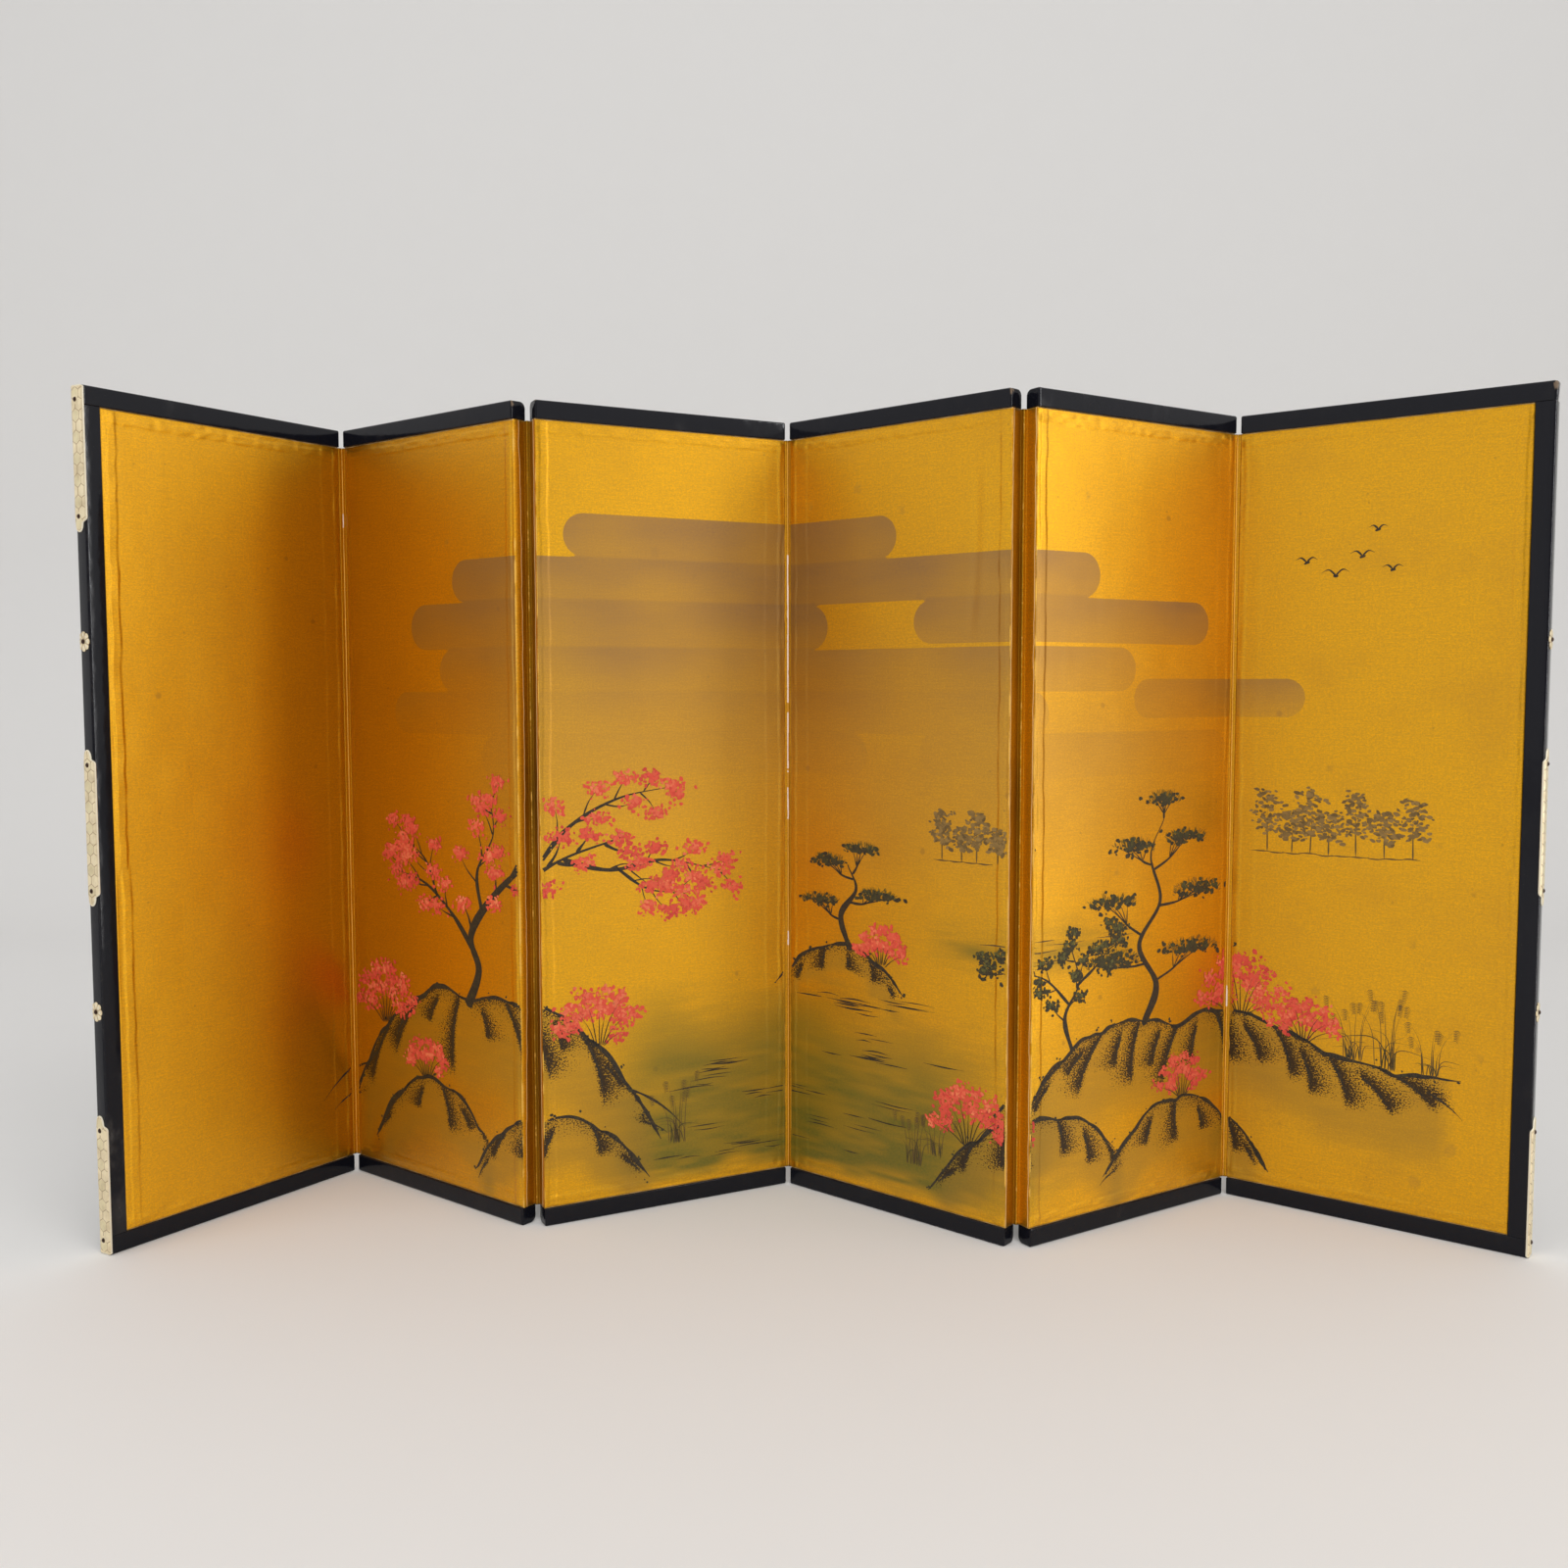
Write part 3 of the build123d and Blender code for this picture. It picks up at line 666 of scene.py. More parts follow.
def back_paper_material():
    """
    Printed paper. Interlaced circles: on each of two square lattices, shifted by half
    a cell, a line is drawn where the distance to the lattice point is the radius.
    """
    stage = settings("stage")
    w, shader = new_material("back_paper", Specular_IOR_Level=0.3)
    place = w.uv_mm()
    radius = stage.circle / MM
    circles = []
    for shift in (0.0, radius):
        moved = w.vector("ADD", place, (shift, shift, 0))
        wrapped = w.vector("WRAP", moved, (radius,) * 3, (-radius,) * 3)
        away = w.vector("LENGTH", w.vector("MULTIPLY", wrapped, (1, 1, 0))) - radius
        circles.append(w.step(w.math("ABSOLUTE", away), 0.55, 0.30))
    fibre = w.noise(place, (0.6, 0.12, 1.0), 4.0, 0.7)
    worn = w.step(w.noise(place, 0.35, 4.0, 0.7), 0.34, 0.55)
    foxing = w.group("Foxing", Place=place, Amount=0.8)
    colour = w.layers(
        stage.back_paper,
        (fibre * 0.30, stage.back_fibre),
        (w.most(*circles) * worn * 0.75, stage.back_print),
        (foxing["Patches"] * 0.25, stage.back_age),
    )
    w.feed(shader, Base_Color=colour, Roughness=w.step(fibre, 0.2, 0.8, 0.66, 0.85),
           Normal=w.bump(fibre, 0.00008, 0.6))


def wood_material(name, light, dark, scale):
    """Sawn wood: growth rings as bands bent by noise, with fine pores along the grain."""
    w, shader = new_material(name)
    place = w.scaled(w.object_mm(), scale)
    rings = w.wire("ShaderNodeTexWave", {"Vector": place, "Scale": 1.0, "Distortion": 4.0,
                                         "Detail": 3.0, "Detail Scale": 0.7}, "Fac")
    pores = w.noise(place, (6.0, 6.0, 1.0), 3.0, 0.7)
    w.feed(shader, Base_Color=w.layers(light, (rings, dark), (w.step(pores, 0.55, 0.75, 0.0, 0.5), dark)),
           Roughness=w.step(pores, 0.3, 0.8, 0.55, 0.8), Normal=w.bump(rings, 0.0001, 0.5))


def liner_material():
    """Pasted layers of fibrous paper."""
    w, shader = new_material("liner_paper")
    fibre = w.noise(w.object_mm(), (0.5, 0.5, 0.09), 5.0, 0.7)
    pale, brown = (0.78, 0.70, 0.54), (0.60, 0.51, 0.36)
    w.feed(shader, Base_Color=w.layers(pale, (fibre, brown)),
           Roughness=w.step(fibre, 0.2, 0.8, 0.75, 0.95), Normal=w.bump(fibre, 0.0001, 0.6))


def pigment_material():
    """Brushed pigment: its colour comes with the stroke, and dry strokes break up into hairs."""
    w, shader = new_material("pigment", Specular_IOR_Level=0.35)
    hairs = w.noise(w.uv_mm(), (0.20, 2.4, 1.0), 3.0, 0.6)
    mottle = w.noise(w.object_mm(), 0.8, 2.0, 0.6)
    colour = w.layers(w.attribute("pigment", "Color"),
                      (w.step(mottle, 0.3, 0.7, 0.0, 0.10), settings("painting").faded))
    w.feed(shader, Base_Color=colour, Roughness=w.step(mottle, 0.2, 0.8, 0.42, 0.62),
           Alpha=w.step(hairs + (0.62 - w.attribute("dryness")), 0.42, 0.56))


# ---- gold cloth ----
CLOTH_GRID = (14.0, 0.56, 1.45)   # border zone, and the grid's spacing within and beyond it
SIDE_ROUND = 0.38            # radius of the turned edge beside a fold
TUCK = 0.35                  # how far the cloth dips at the rails and the stiles
TUCK_WIDTH = 0.55
RETURN_DEPTH = 7.6           # cloth on the end faces, front to back
VALLEY_HEM = {1: 1.0, 3: 0.5, 5: 0.3}   # how clearly the strips show beside each valley
CREASED_PANEL = 4
AGE = {4: 0.7, 6: 1.0}       # how blotchy a panel's cloth is; 0.4 for the others
# painted shade on the cloth beside the first fold: panel, strength, and how far off it starts to fade and
# ends
FACE_SHADE = {1: (0.18, 32, 62), 2: (0.22, 0, 125)}


def stepped_band(x, start, end, ramp):
    """1 between two places, with soft ramps, for a strip of paper below the cloth."""
    return smoothstep(x, start - ramp, start + ramp) - smoothstep(x, end - ramp, end + ramp)


def cloth_relief(panel, u, z):
    """
    How far the cloth stands out at (u, z). It is the sum of slow waves, the strips
    of paper pasted below along the borders, ripples round the corners, and the
    crease of one panel.
    """
    cloth = settings("cloth")
    seed = 100 * panel.number
    left, right, low, high = panel.borders(u, z)
    wave, hem = cloth.waviness / MM, cloth.hem_height / MM
    relief = wave * (soft_noise(u, z, 58, seed) + 0.45 * soft_noise(u, z, 21, seed + 1)
                     + 0.10 * soft_noise(u, z * 0.35, 5.5, seed + 2))

    drift = 0.50 * soft_noise(z, 0, 37, seed + 3) + 0.38 * soft_noise(z, 0, 8, seed + 4)
    sag = 0.55 * soft_noise(u, 0, 41, seed + 5) + 0.36 * soft_noise(u, 0, 9, seed + 6)
    hem = hem * (0.85 + 0.55 * soft_noise(u + z, u - z, 13, seed + 8))
    for side, away in ((-1, left + drift), (1, right + drift)):
        if panel.side == side:
            join = stepped_band(z, 205, 1000, 1.2)
            relief += hem * 0.9 * stepped_band(away, 2.6, 7.6, 0.35) * join
            relief += hem * 0.7 * stepped_band(away, 4.2, 9.0, 0.40) * (1 - join)
            continue
        fold = panel.number - (side < 0)
        strength, wide = 1.0, 6.6
        if is_valley(fold):
            strength, wide = VALLEY_HEM[fold], 4.4
            relief += strength * hem * 0.55 * fall(away, 12.2, 13.4)
        relief += strength * hem * stepped_band(away, 2.2, wide, 0.45)
    relief += hem * (0.8 * stepped_band(high + sag, 3.0, 7.4, 0.5)
                     + 0.6 * stepped_band(low + sag, 3.4, 6.6, 0.5))
    crumpled = 0.14 * soft_noise(u, z * 1.5, 3.4, seed + 9)
    relief += crumpled * stepped_band(np.minimum(high, low), 0.8, 8.0, 0.8)

    shake = 0.8 * soft_noise(u, z, 16, seed + 7)
    for across, up, phase in ((left, low, 0.4), (right, low, 1.9), (left, high, 2.7), (right, high, 4.1)):
        relief += 0.13 * np.exp(-np.hypot(across, up) / 15) * np.sin((across - up) / 5.2 + phase + shake)
    if panel.number == CREASED_PANEL:
        middle = 127.0 + 3.5 * np.sin((z - 330) / 42.0)
        pinch = 0.13 * bump_at(u, middle + 5.0, 3.2) - 0.20 * bump_at(u, middle, 2.4)
        relief += pinch * smoothstep(z, 318, 345) * fall(z, 405, 428)
    ends, sides = np.minimum(low, high), np.minimum(left, right)
    return relief * smoothstep(ends, 0.0, 2.2) * smoothstep(sides, 0.0, 2.2)


def cloth_path(panel):
    """
    Section of the face cloth as u and v: straight across the front, turned back
    with a small radius at each fold, and tucked in beside a stile.
    """
    u = graded(panel.width, *CLOTH_GRID)
    v = np.zeros_like(u)
    if panel.side:
        v = TUCK * fall(u if panel.side < 0 else panel.width - u, 0.0, TUCK_WIDTH)
    angle = np.linspace(0, math.pi / 2, 5)
    away = np.concatenate([SIDE_ROUND * (1 - np.sin(angle)), np.zeros(3)])
    deep = np.concatenate([SIDE_ROUND * (1 - np.cos(angle)), [2.5, 4.6, RETURN_DEPTH]])
    start = SIDE_ROUND * 1.3
    if panel.side >= 0:
        keep = u > start
        u, v = np.concatenate([away[::-1], u[keep]]), np.concatenate([deep[::-1], v[keep]])
    if panel.side <= 0:
        keep = u < panel.width - start
        u, v = np.concatenate([u[keep], panel.width - away]), np.concatenate([v[keep], deep])
    return u, v


def gold_face(panel):
    """
    Face cloth of one panel: the section of cloth_path carried up the panel, with
    the relief taken off v, and with the washes of the painting as attributes.
    """
    u_line, v_line = cloth_path(panel)
    u, z = np.meshgrid(u_line, panel.bottom + graded(panel.height, *CLOTH_GRID))
    left, right, low, high = panel.borders(u, z)
    border = np.minimum(low, high)
    v = np.broadcast_to(v_line, u.shape)
    v = v + TUCK * fall(border, 0.0, TUCK_WIDTH) * (v < 1.0)
    on_front = (v_line < TUCK) * np.ones_like(u)
    v = v - cloth_relief(panel, u, z) * on_front
    s, up = panel.painting(u, z)
    attributes = ground_washes(s, up, on_front) if settings("painting").show else {}
    raw = fall(border + 0.12 * soft_noise(u, z, 4, 9), 0.25, 0.75)
    rub = np.zeros_like(u)
    for side, away in ((-1, left), (1, right)):
        if panel.side == side:
            raw = np.maximum(raw, fall(away, 0.15, 0.45))
        else:
            rub = np.maximum(rub, fall(away, 0.30, 0.60) * (v < 0.5))
    attributes["raw"] = raw * on_front
    attributes["rub"] = rub * np.clip(0.45 + 0.35 * soft_noise(z, 0, 6.0, 40 + panel.number), 0, 1)
    attributes["age"] = np.full_like(u, AGE.get(panel.number, 0.4))
    # painted shade beside the first fold, darkest next to the fold
    if panel.number in FACE_SHADE:
        strength, start, end = FACE_SHADE[panel.number]
        attributes["painted_shade"] = strength * fall(right if panel.number == 1 else left, start, end)
    uv = np.stack([s + np.maximum(v, 0) * np.sign(u - panel.width / 2), up], axis=-1) / UV_SPAN
    piece = new_piece(f"gold_face_{panel.number}", panel.place(u, v, z), grid_faces(*u.shape),
                      "gold_cloth", attributes, uv)
    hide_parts(f"face_cloth_{panel.number}")
    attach(piece, f"panel_{panel.number}")
    turned = RETURN_DEPTH * (1 if panel.side else 2)
    (panel.width + turned) * MM
    panel.height * MM


STRIP_ROWS = 390             # points up a hinge strip
# how far each fold's raw edges stay from the far face: middle, and swing up the fold
RAW_EDGES = {1: (1.5, 0.4), 2: (3.4, 1.5), 3: (1.5, 0.4), 4: (1.0, 0.5), 5: (1.5, 0.4)}
# how much painted shade the cloth in each fold has, left and right of its crease
STRIP_SHADE = {1: (0.12, 0.12), 2: (0.48, 0.60), 3: (0.05, 0.30), 4: (0.48, 0.0), 5: (0.10, 0.10)}
# places where the worn crease of a valley has split: fold, height, length
SPLITS = ((3, 365, 26), (3, 322, 60), (3, 268, 34), (3, 232, 18), (3, 150, 10), (1, 402, 8), (5, 118, 12))


def hinge_half(panel, end_u, hinge_v, way, raw, pivot, lift):
    """
    Half a strip's centre line at every height, as the distance beyond the end face and
    v: from the raw edge along the end face, round the corner and on, in line with the
    panel's face, to the crease. Also returns the number of the point after the corner.
    """
    bend = 0.34
    angle = np.linspace(0, math.pi / 2, 4)
    reach = abs((pivot - panel.place(end_u, hinge_v, 0.0)[:2]) @ panel.along)
    corner = hinge_v + way * (lift + bend)
    flange = raw[:, None] + (corner - raw)[:, None] * np.array([0.0, 0.06, 0.3, 0.6, 0.85])
    turn_u = lift + bend * (1 - np.cos(angle))
    turn_v = hinge_v + way * (lift + bend * (1 - np.sin(angle)))
    on_u = turn_u[-1] + (reach - turn_u[-1]) * np.array([0.3, 0.55, 0.72, 0.86, 0.94])
    beyond = np.concatenate([np.full(5, lift), turn_u, on_u])
    level = np.concatenate([turn_v, np.full(5, hinge_v + way * lift)])
    rows = np.ones((len(raw), 1))
    return rows * beyond, np.hstack([flange, rows * level]), 5 + len(angle) - 1


def hinge_strip(fold):
    """
    Hinge cloth of one fold: a thin closed strip. Its flanges lie on the two end
    faces, and it crosses the gap in line with both panels' faces, up to a crease
    that is a little raised and worn. Its raw edges wander a little up the fold.
    """
    left, right = PANELS[fold], PANELS[fold + 1]
    thick = settings("cloth").strip / MM
    valley = is_valley(fold)
    hinge_v, far_v, way = (0.0, left.depth, 1.0) if valley else (left.depth, 0.0, -1.0)
    lift = 0.04 + thick / 2
    z = np.linspace(left.bottom + 0.2, left.top - 0.2, STRIP_ROWS)
    margin, swing = RAW_EDGES[fold]

    def wander(cell, seed):
        return soft_noise(z, 0, cell, seed + fold)

    a0, b0 = left.place(left.width, hinge_v, 0.0)[:2], right.place(0.0, hinge_v, 0.0)[:2]
    shares = np.linalg.solve(np.stack([left.along, right.along], axis=1), b0 - a0)
    pivot = a0 + shares[0] * left.along
    halves = []
    for panel, end_u, outwards, seed in ((left, left.width, 1.0, 500), (right, 0.0, -1.0, 510)):
        raw = far_v - way * (margin + swing * wander(170, seed) + 0.30 * wander(9, seed + 1)
                             + 0.10 * wander(1.6, seed + 2))
        beyond, v, corner = hinge_half(panel, end_u, hinge_v, way, raw, pivot, lift)
        halves.append(panel.place(end_u + outwards * beyond, v, z[:, None])[..., :2])
    a, b = halves
    inwards = way * (left.back + right.back)
    inwards = inwards / np.linalg.norm(inwards)
    sideways = np.array([-inwards[1], inwards[0]])
    crease = (a[:, -1] + b[:, -1]) / 2 + (0.05 - 0.10 * valley) * inwards
    crease = crease + (0.10 * wander(14, 540) + 0.05 * wander(3, 550))[:, None] * sideways
    line = np.concatenate([a, crease[:, None], b[:, ::-1]], axis=1)
    run = np.gradient(line, axis=1)
    normal = np.stack([-run[..., 1], run[..., 0]], axis=-1)
    normal = normal / np.linalg.norm(normal, axis=-1, keepdims=True)
    loop = np.concatenate([line + normal * thick / 2, (line - normal * thick / 2)[:, ::-1]], axis=1)
    rows, columns = loop.shape[:2]
    points = np.concatenate([loop, np.broadcast_to(z[:, None, None], (rows, columns, 1))], axis=-1)
    faces = grid_faces(rows, columns, wrap_columns=True).tolist()
    for first in (0, (rows - 1) * columns):
        for j in range(columns // 2 - 1):
            other = columns - 1 - j
            faces.append([first + k for k in (j, j + 1, other - 1, other)])

    steps = np.linalg.norm(np.diff(line, axis=1), axis=-1)
    length = np.concatenate([np.zeros((rows, 1)), np.cumsum(steps, axis=1)], axis=1)
    from_end = np.minimum(length, length[:, -1:] - length)
    past_crease = length - length[:, [line.shape[1] // 2]]
    from_crease = np.abs(past_crease)
    split = np.zeros_like(length)
    for where, height, tall in SPLITS:
        if where == fold:
            ragged = tall / 2 + 3 * wander(2.0, 560)
            open_here = smoothstep(ragged - np.abs(z - height), -0.5, 0.5)
            split = np.maximum(split, open_here[:, None] * (from_crease < 0.55))
    rub = (0.85 if valley else 0.30) + 0.25 * wander(5, 570) + 0.2 * wander(1.2, 580)
    # painted shade inside the fold, one strength on each side of the crease
    on_right = smoothstep(past_crease, -0.2, 0.2)
    painted_shade = STRIP_SHADE[fold][0] * (1 - on_right) + STRIP_SHADE[fold][1] * on_right
    attributes = {
        "painted_shade": np.clip(painted_shade * (1 + 0.25 * wander(40, 590))[:, None], 0, 1),
        "raw": fall(from_end, 0.06, 0.26),
        "rub": np.clip(rub, 0, 1)[:, None] * fall(from_crease, 0.22, 0.50),
        "split": split,
        "age": np.full_like(length, 0.5),
    }
    both_faces = {key: np.hstack([value, value[:, ::-1]]) for key, value in attributes.items()}
    s = np.hstack([length, length[:, ::-1]])
    uv = np.stack([s + left.width * fold, np.broadcast_to(z[:, None], s.shape)], axis=-1) / UV_SPAN
    piece = tidy_mesh(new_piece(f"hinge_strip_{fold}", points, faces, "gold_cloth", both_faces, uv))
    start, end = a[rows // 2, corner], b[rows // 2, corner]
    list(start * MM)
    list(end * MM)
    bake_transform(piece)
    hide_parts(f"hinge_cloth_{fold}")


# ---- painting ----
# mist: bars with round ends that touch: left end, right end, height and half height
MIST_BARS = (
    (330, 520, 374, 12), (262, 640, 350, 12), (226, 470, 325, 13), (556, 726, 326, 12),
    (250, 668, 300, 12), (208, 604, 276, 12), (690, 786, 284, 11), (286, 500, 252, 12),
    (560, 742, 254, 12),
)

# crests of the hills from left to right over the opened-out painting, back ones first,
# with how far down each is coloured
HILLS = (
    (((150, 38), (166, 66), (186, 90), (210, 106), (236, 116), (262, 112), (290, 117), (318, 104),
      (342, 80), (362, 50), (374, 28)), 70),
    (((170, 16), (192, 46), (220, 60), (248, 54), (270, 36), (284, 14)), 44),
    (((262, 14), (288, 42), (316, 50), (340, 38), (360, 16), (366, 8)), 40),
    (((448, 114), (466, 132), (488, 141), (512, 137), (530, 124), (540, 114)), 24),
    (((596, 56), (620, 84), (650, 99), (684, 104), (716, 97), (744, 102), (778, 97), (812, 84),
      (850, 78), (884, 79)), 62),
    (((556, 10), (584, 43), (612, 58), (642, 54), (666, 36), (682, 12)), 44),
    (((660, 18), (690, 46), (722, 55), (752, 43), (772, 22), (782, 8)), 42),
)

# old water stains: place along the painting, height and radius
STAINS = (
    (880, 40, 3.2), (862, 19, 3.4), (868, 62, 1.8), (893, 92, 1.6), (846, 86, 2.0), (858, 150, 1.5),
    (806, 118, 2.2), (812, 245, 1.8), (870, 205, 1.4), (505, 402, 2.6), (536, 388, 2.2), (470, 395, 1.6),
    (548, 340, 2.0), (372, 366, 2.6), (396, 354, 1.5), (642, 392, 1.6), (668, 188, 1.8), (246, 372, 1.6),
)


def capsule_distance(s, up, start, end, height, half):
    """Distance inside a level bar with round ends, positive within it."""
    return half - np.hypot(s - np.clip(s, start, end), up - height)


def line_distance(s, up, line):
    """Distance to a broken line, its share of the length, and the side, positive to its left."""
    best = np.full(s.shape, 1e6)
    share, side = np.zeros_like(best), np.zeros_like(best)
    lengths = np.linalg.norm(np.diff(line, axis=0), axis=1)
    before = np.concatenate([[0], np.cumsum(lengths)])
    for i, length in enumerate(lengths):
        a, d = line[i], (line[i + 1] - line[i]) / max(length, 1e-9)
        along = np.clip((s - a[0]) * d[0] + (up - a[1]) * d[1], 0, length)
        ds, du = s - a[0] - along * d[0], up - a[1] - along * d[1]
        away = np.hypot(ds, du)
        nearer = away < best
        best = np.where(nearer, away, best)
        share = np.where(nearer, (before[i] + along) / before[-1], share)
        side = np.where(nearer, np.sign(d[0] * du - d[1] * ds), side)
    return best, share, side


def hill_lobes(number):
    """How many rounded lobes a hill's crest has, and the power that makes them uneven."""
    wide = np.ptp([point[0] for point in HILLS[number][0]])
    return max(int(wide / 27), 3), 1.15 if number % 2 else 0.88


def hill_crest(number):
    """Crest line of a hill: rounded lobes of uneven height between sharp notches."""
    lobes, power = hill_lobes(number)
    line = smooth_line(HILLS[number][0], 1.6)
    share = np.linspace(0, 1, len(line)) ** power
    phase = share * lobes
    height = 2.6 + 1.6 * np.sin(2.4 * np.floor(phase) + number)
    ends = smoothstep(share * (1 - share), 0, 0.12)
    line[:, 1] += height * (np.abs(np.sin(math.pi * phase)) - 0.6) * ends
    line[:, 1] += 0.6 * soft_noise(line[:, 0], 0, 6, 70)
    return line


def under_hill(number, s, up):
    """How far below a hill's crest a point is; a point beside the hill counts as far above."""
    crest = hill_crest(number)
    inside = (s > crest[0, 0]) & (s < crest[-1, 0])
    return np.where(inside, np.interp(s, crest[:, 0], crest[:, 1]) - up, -1e3)


def hill_folds(number):
    """
    Folds in a hill's ground: one from every notch of the crest and a short one
    between two notches, each bowed and leaning away from the hill's middle.
    """
    crest, depth = hill_crest(number), HILLS[number][1]
    middle, half = crest[:, 0].mean(), np.ptp(crest[:, 0]) / 2
    lobes, power = hill_lobes(number)
    t = np.linspace(0, 1, 6)[:, None]
    folds = []
    for k in range(1, 2 * lobes):
        share = (k / 2 / lobes) ** (1 / power)
        from_notch = k % 2 == 0
        start = crest[int(share * (len(crest) - 1))] - (0, 0.6 if from_notch else 8.0)
        side = (start[0] - middle) / half
        lean = 0.9 * side + 0.22 * math.sin(5.1 * k + number)
        length = depth * ((0.62 if from_notch else 0.36) + 0.10 * math.sin(3.3 * k + 2 * number))
        way = np.array([math.sin(lean), -math.cos(lean)])
        bow = np.array([-way[1], way[0]]) * (0.30 if side > 0 else -0.30) * length
        folds.append(start + way * length * t + bow * t * (1 - t))
    return folds


def over(colour, cover, new_colour, new_cover):
    """Lay one wash over another."""
    total = new_cover + cover * (1 - new_cover)
    share = np.where(total > 1e-6, new_cover / np.maximum(total, 1e-6), 0.0)
    return colour + (np.asarray(new_colour) - colour) * share[..., None], total


def hill_washes(number, s, up, streak, colour, cover, dry):
    """Ochre below one hill's crest, and stippled shade along the crest and its folds."""
    depth, crest = HILLS[number][1], hill_crest(number)
    below = under_hill(number, s, up)
    ends = smoothstep(s, crest[0, 0], crest[0, 0] + 14) * fall(s, crest[-1, 0] - 14, crest[-1, 0])
    solid = smoothstep(below, -0.3, 0.7)
    tone = np.clip(solid * fall(below + 6 * streak, depth * 0.55, depth) * ends, 0, 1)
    tone = np.clip(0.46 * tone * (1 + 0.25 * streak), 0, 1)
    colour, cover = over(colour, cover, settings("painting").bank, tone)
    dry = dry * (1 - solid * fall(below, depth * 0.5, depth * 0.8))
    patches = 0.75 + 0.55 * soft_noise(s, up * 0.4, 15, 80 + number)
    rim = 0.74 * np.exp(-np.maximum(below, 0) / 6.5) * (below > 0) * patches * ends
    dry = np.maximum(dry, rim)
    for fold in hill_folds(number):
        low, high = fold.min(0) - 18, fold.max(0) + 18
        near = (s > low[0]) & (s < high[0]) & (up > low[1]) & (up < high[1])
        if near.any():
            away, share, side = line_distance(s[near], up[near], fold)
            outer = side > 0 if fold[0, 0] > crest[:, 0].mean() else side < 0
            width = np.where(outer, 9.0, 1.6) * (0.6 + 0.8 * share)
            dark = 1.05 * np.exp(-(away / width) ** 1.3) * fall(share, 0.70, 1.0)
            dry[near] = np.maximum(dry[near], dark * (below[near] > 0) * ends[near])
    return colour, cover, dry


def ground_washes(s, up, on_front):
    """
    Washes at each point of the cloth: the soft ones as a colour and a cover, the
    mist as the distance inside its crisp edge and a tone, and stippled shade as a density.
    """
    paint = settings("painting")
    colour, cover, dry = np.zeros((*s.shape, 3)), np.zeros_like(s), np.zeros_like(s)
    streak = soft_noise(s * 0.16, up, 2.6, 11) * 0.5 + soft_noise(s * 0.3, up, 7.0, 12) * 0.5

    # stream: level water over three panels, drawn in broad level strokes
    shore = 92 + 16 * np.sin((s - 300) / 80) + 10 * soft_noise(s, up, 46, 13)
    stream = smoothstep(s, 318, 380) * fall(s + 14 * streak, 560, 640)
    stream = stream * fall(up + 12 * streak, shore - 30, shore + 20)
    stream = stream * (0.60 + 0.22 * streak + 0.20 * smoothstep(90 - up, 0, 80))
    stream = stream * smoothstep(up + 5 * streak, 1, 14)
    colour, cover = over(colour, cover, paint.stream, np.clip(stream, 0, 0.85))
    pool = bump_at(up, 150, 12) * smoothstep(s, 540, 590) * fall(s, 640, 700)
    colour, cover = over(colour, cover, paint.stream, np.clip(0.40 * pool * (1 + streak), 0, 1))

    for place, height, radius in STAINS:
        away = np.hypot(s - place, (up - height) * 0.9) + 0.35 * soft_noise(s, up, 2.6, 15)
        disc = fall(away, radius * 0.75, radius * 1.1)
        ring = disc * (0.65 + 0.35 * smoothstep(away, radius * 0.5, radius * 0.9))
        colour, cover = over(colour, cover, paint.stain, 0.34 * ring)
    for number in range(len(HILLS)):
        colour, cover, dry = hill_washes(number, s, up, streak, colour, cover, dry)

    # mist: one body of touching bars, each darkest along its upper edge
    inside, tone = np.full(s.shape, -9.0), np.zeros_like(s)
    for start, end, height, half in MIST_BARS:
        distance = capsule_distance(s, up, start, end, height, half)
        fade = 0.80 + 0.20 * smoothstep(up, height - half, height + half * 0.9)
        tone = np.maximum(tone, np.where(distance > -1, fade, 0))
        inside = np.maximum(inside, distance)
    cloudy = 0.80 + 0.12 * soft_noise(s, up, 34, 31) + 0.05 * streak
    high = 0.10 + 0.90 * smoothstep(up + 16 * soft_noise(s, up, 60, 32), 236, 345)
    veil = bump_at(up, 250, 60) * smoothstep(s, 190, 320) * fall(s, 640, 800)
    colour, cover = over(colour, cover, paint.mist, np.clip(0.28 * veil, 0, 1))
    return {
        "wash": colour, "wash_cover": cover * on_front, "dry": dry * on_front,
        "mist_edge": np.clip(inside, -3, 3), "mist_tone": np.clip(tone * cloudy * high, 0, 1) * on_front,
    }


def between(a, b, share):
    """Colour between two others."""
    return np.asarray(a) * (1 - share) + np.asarray(b) * share


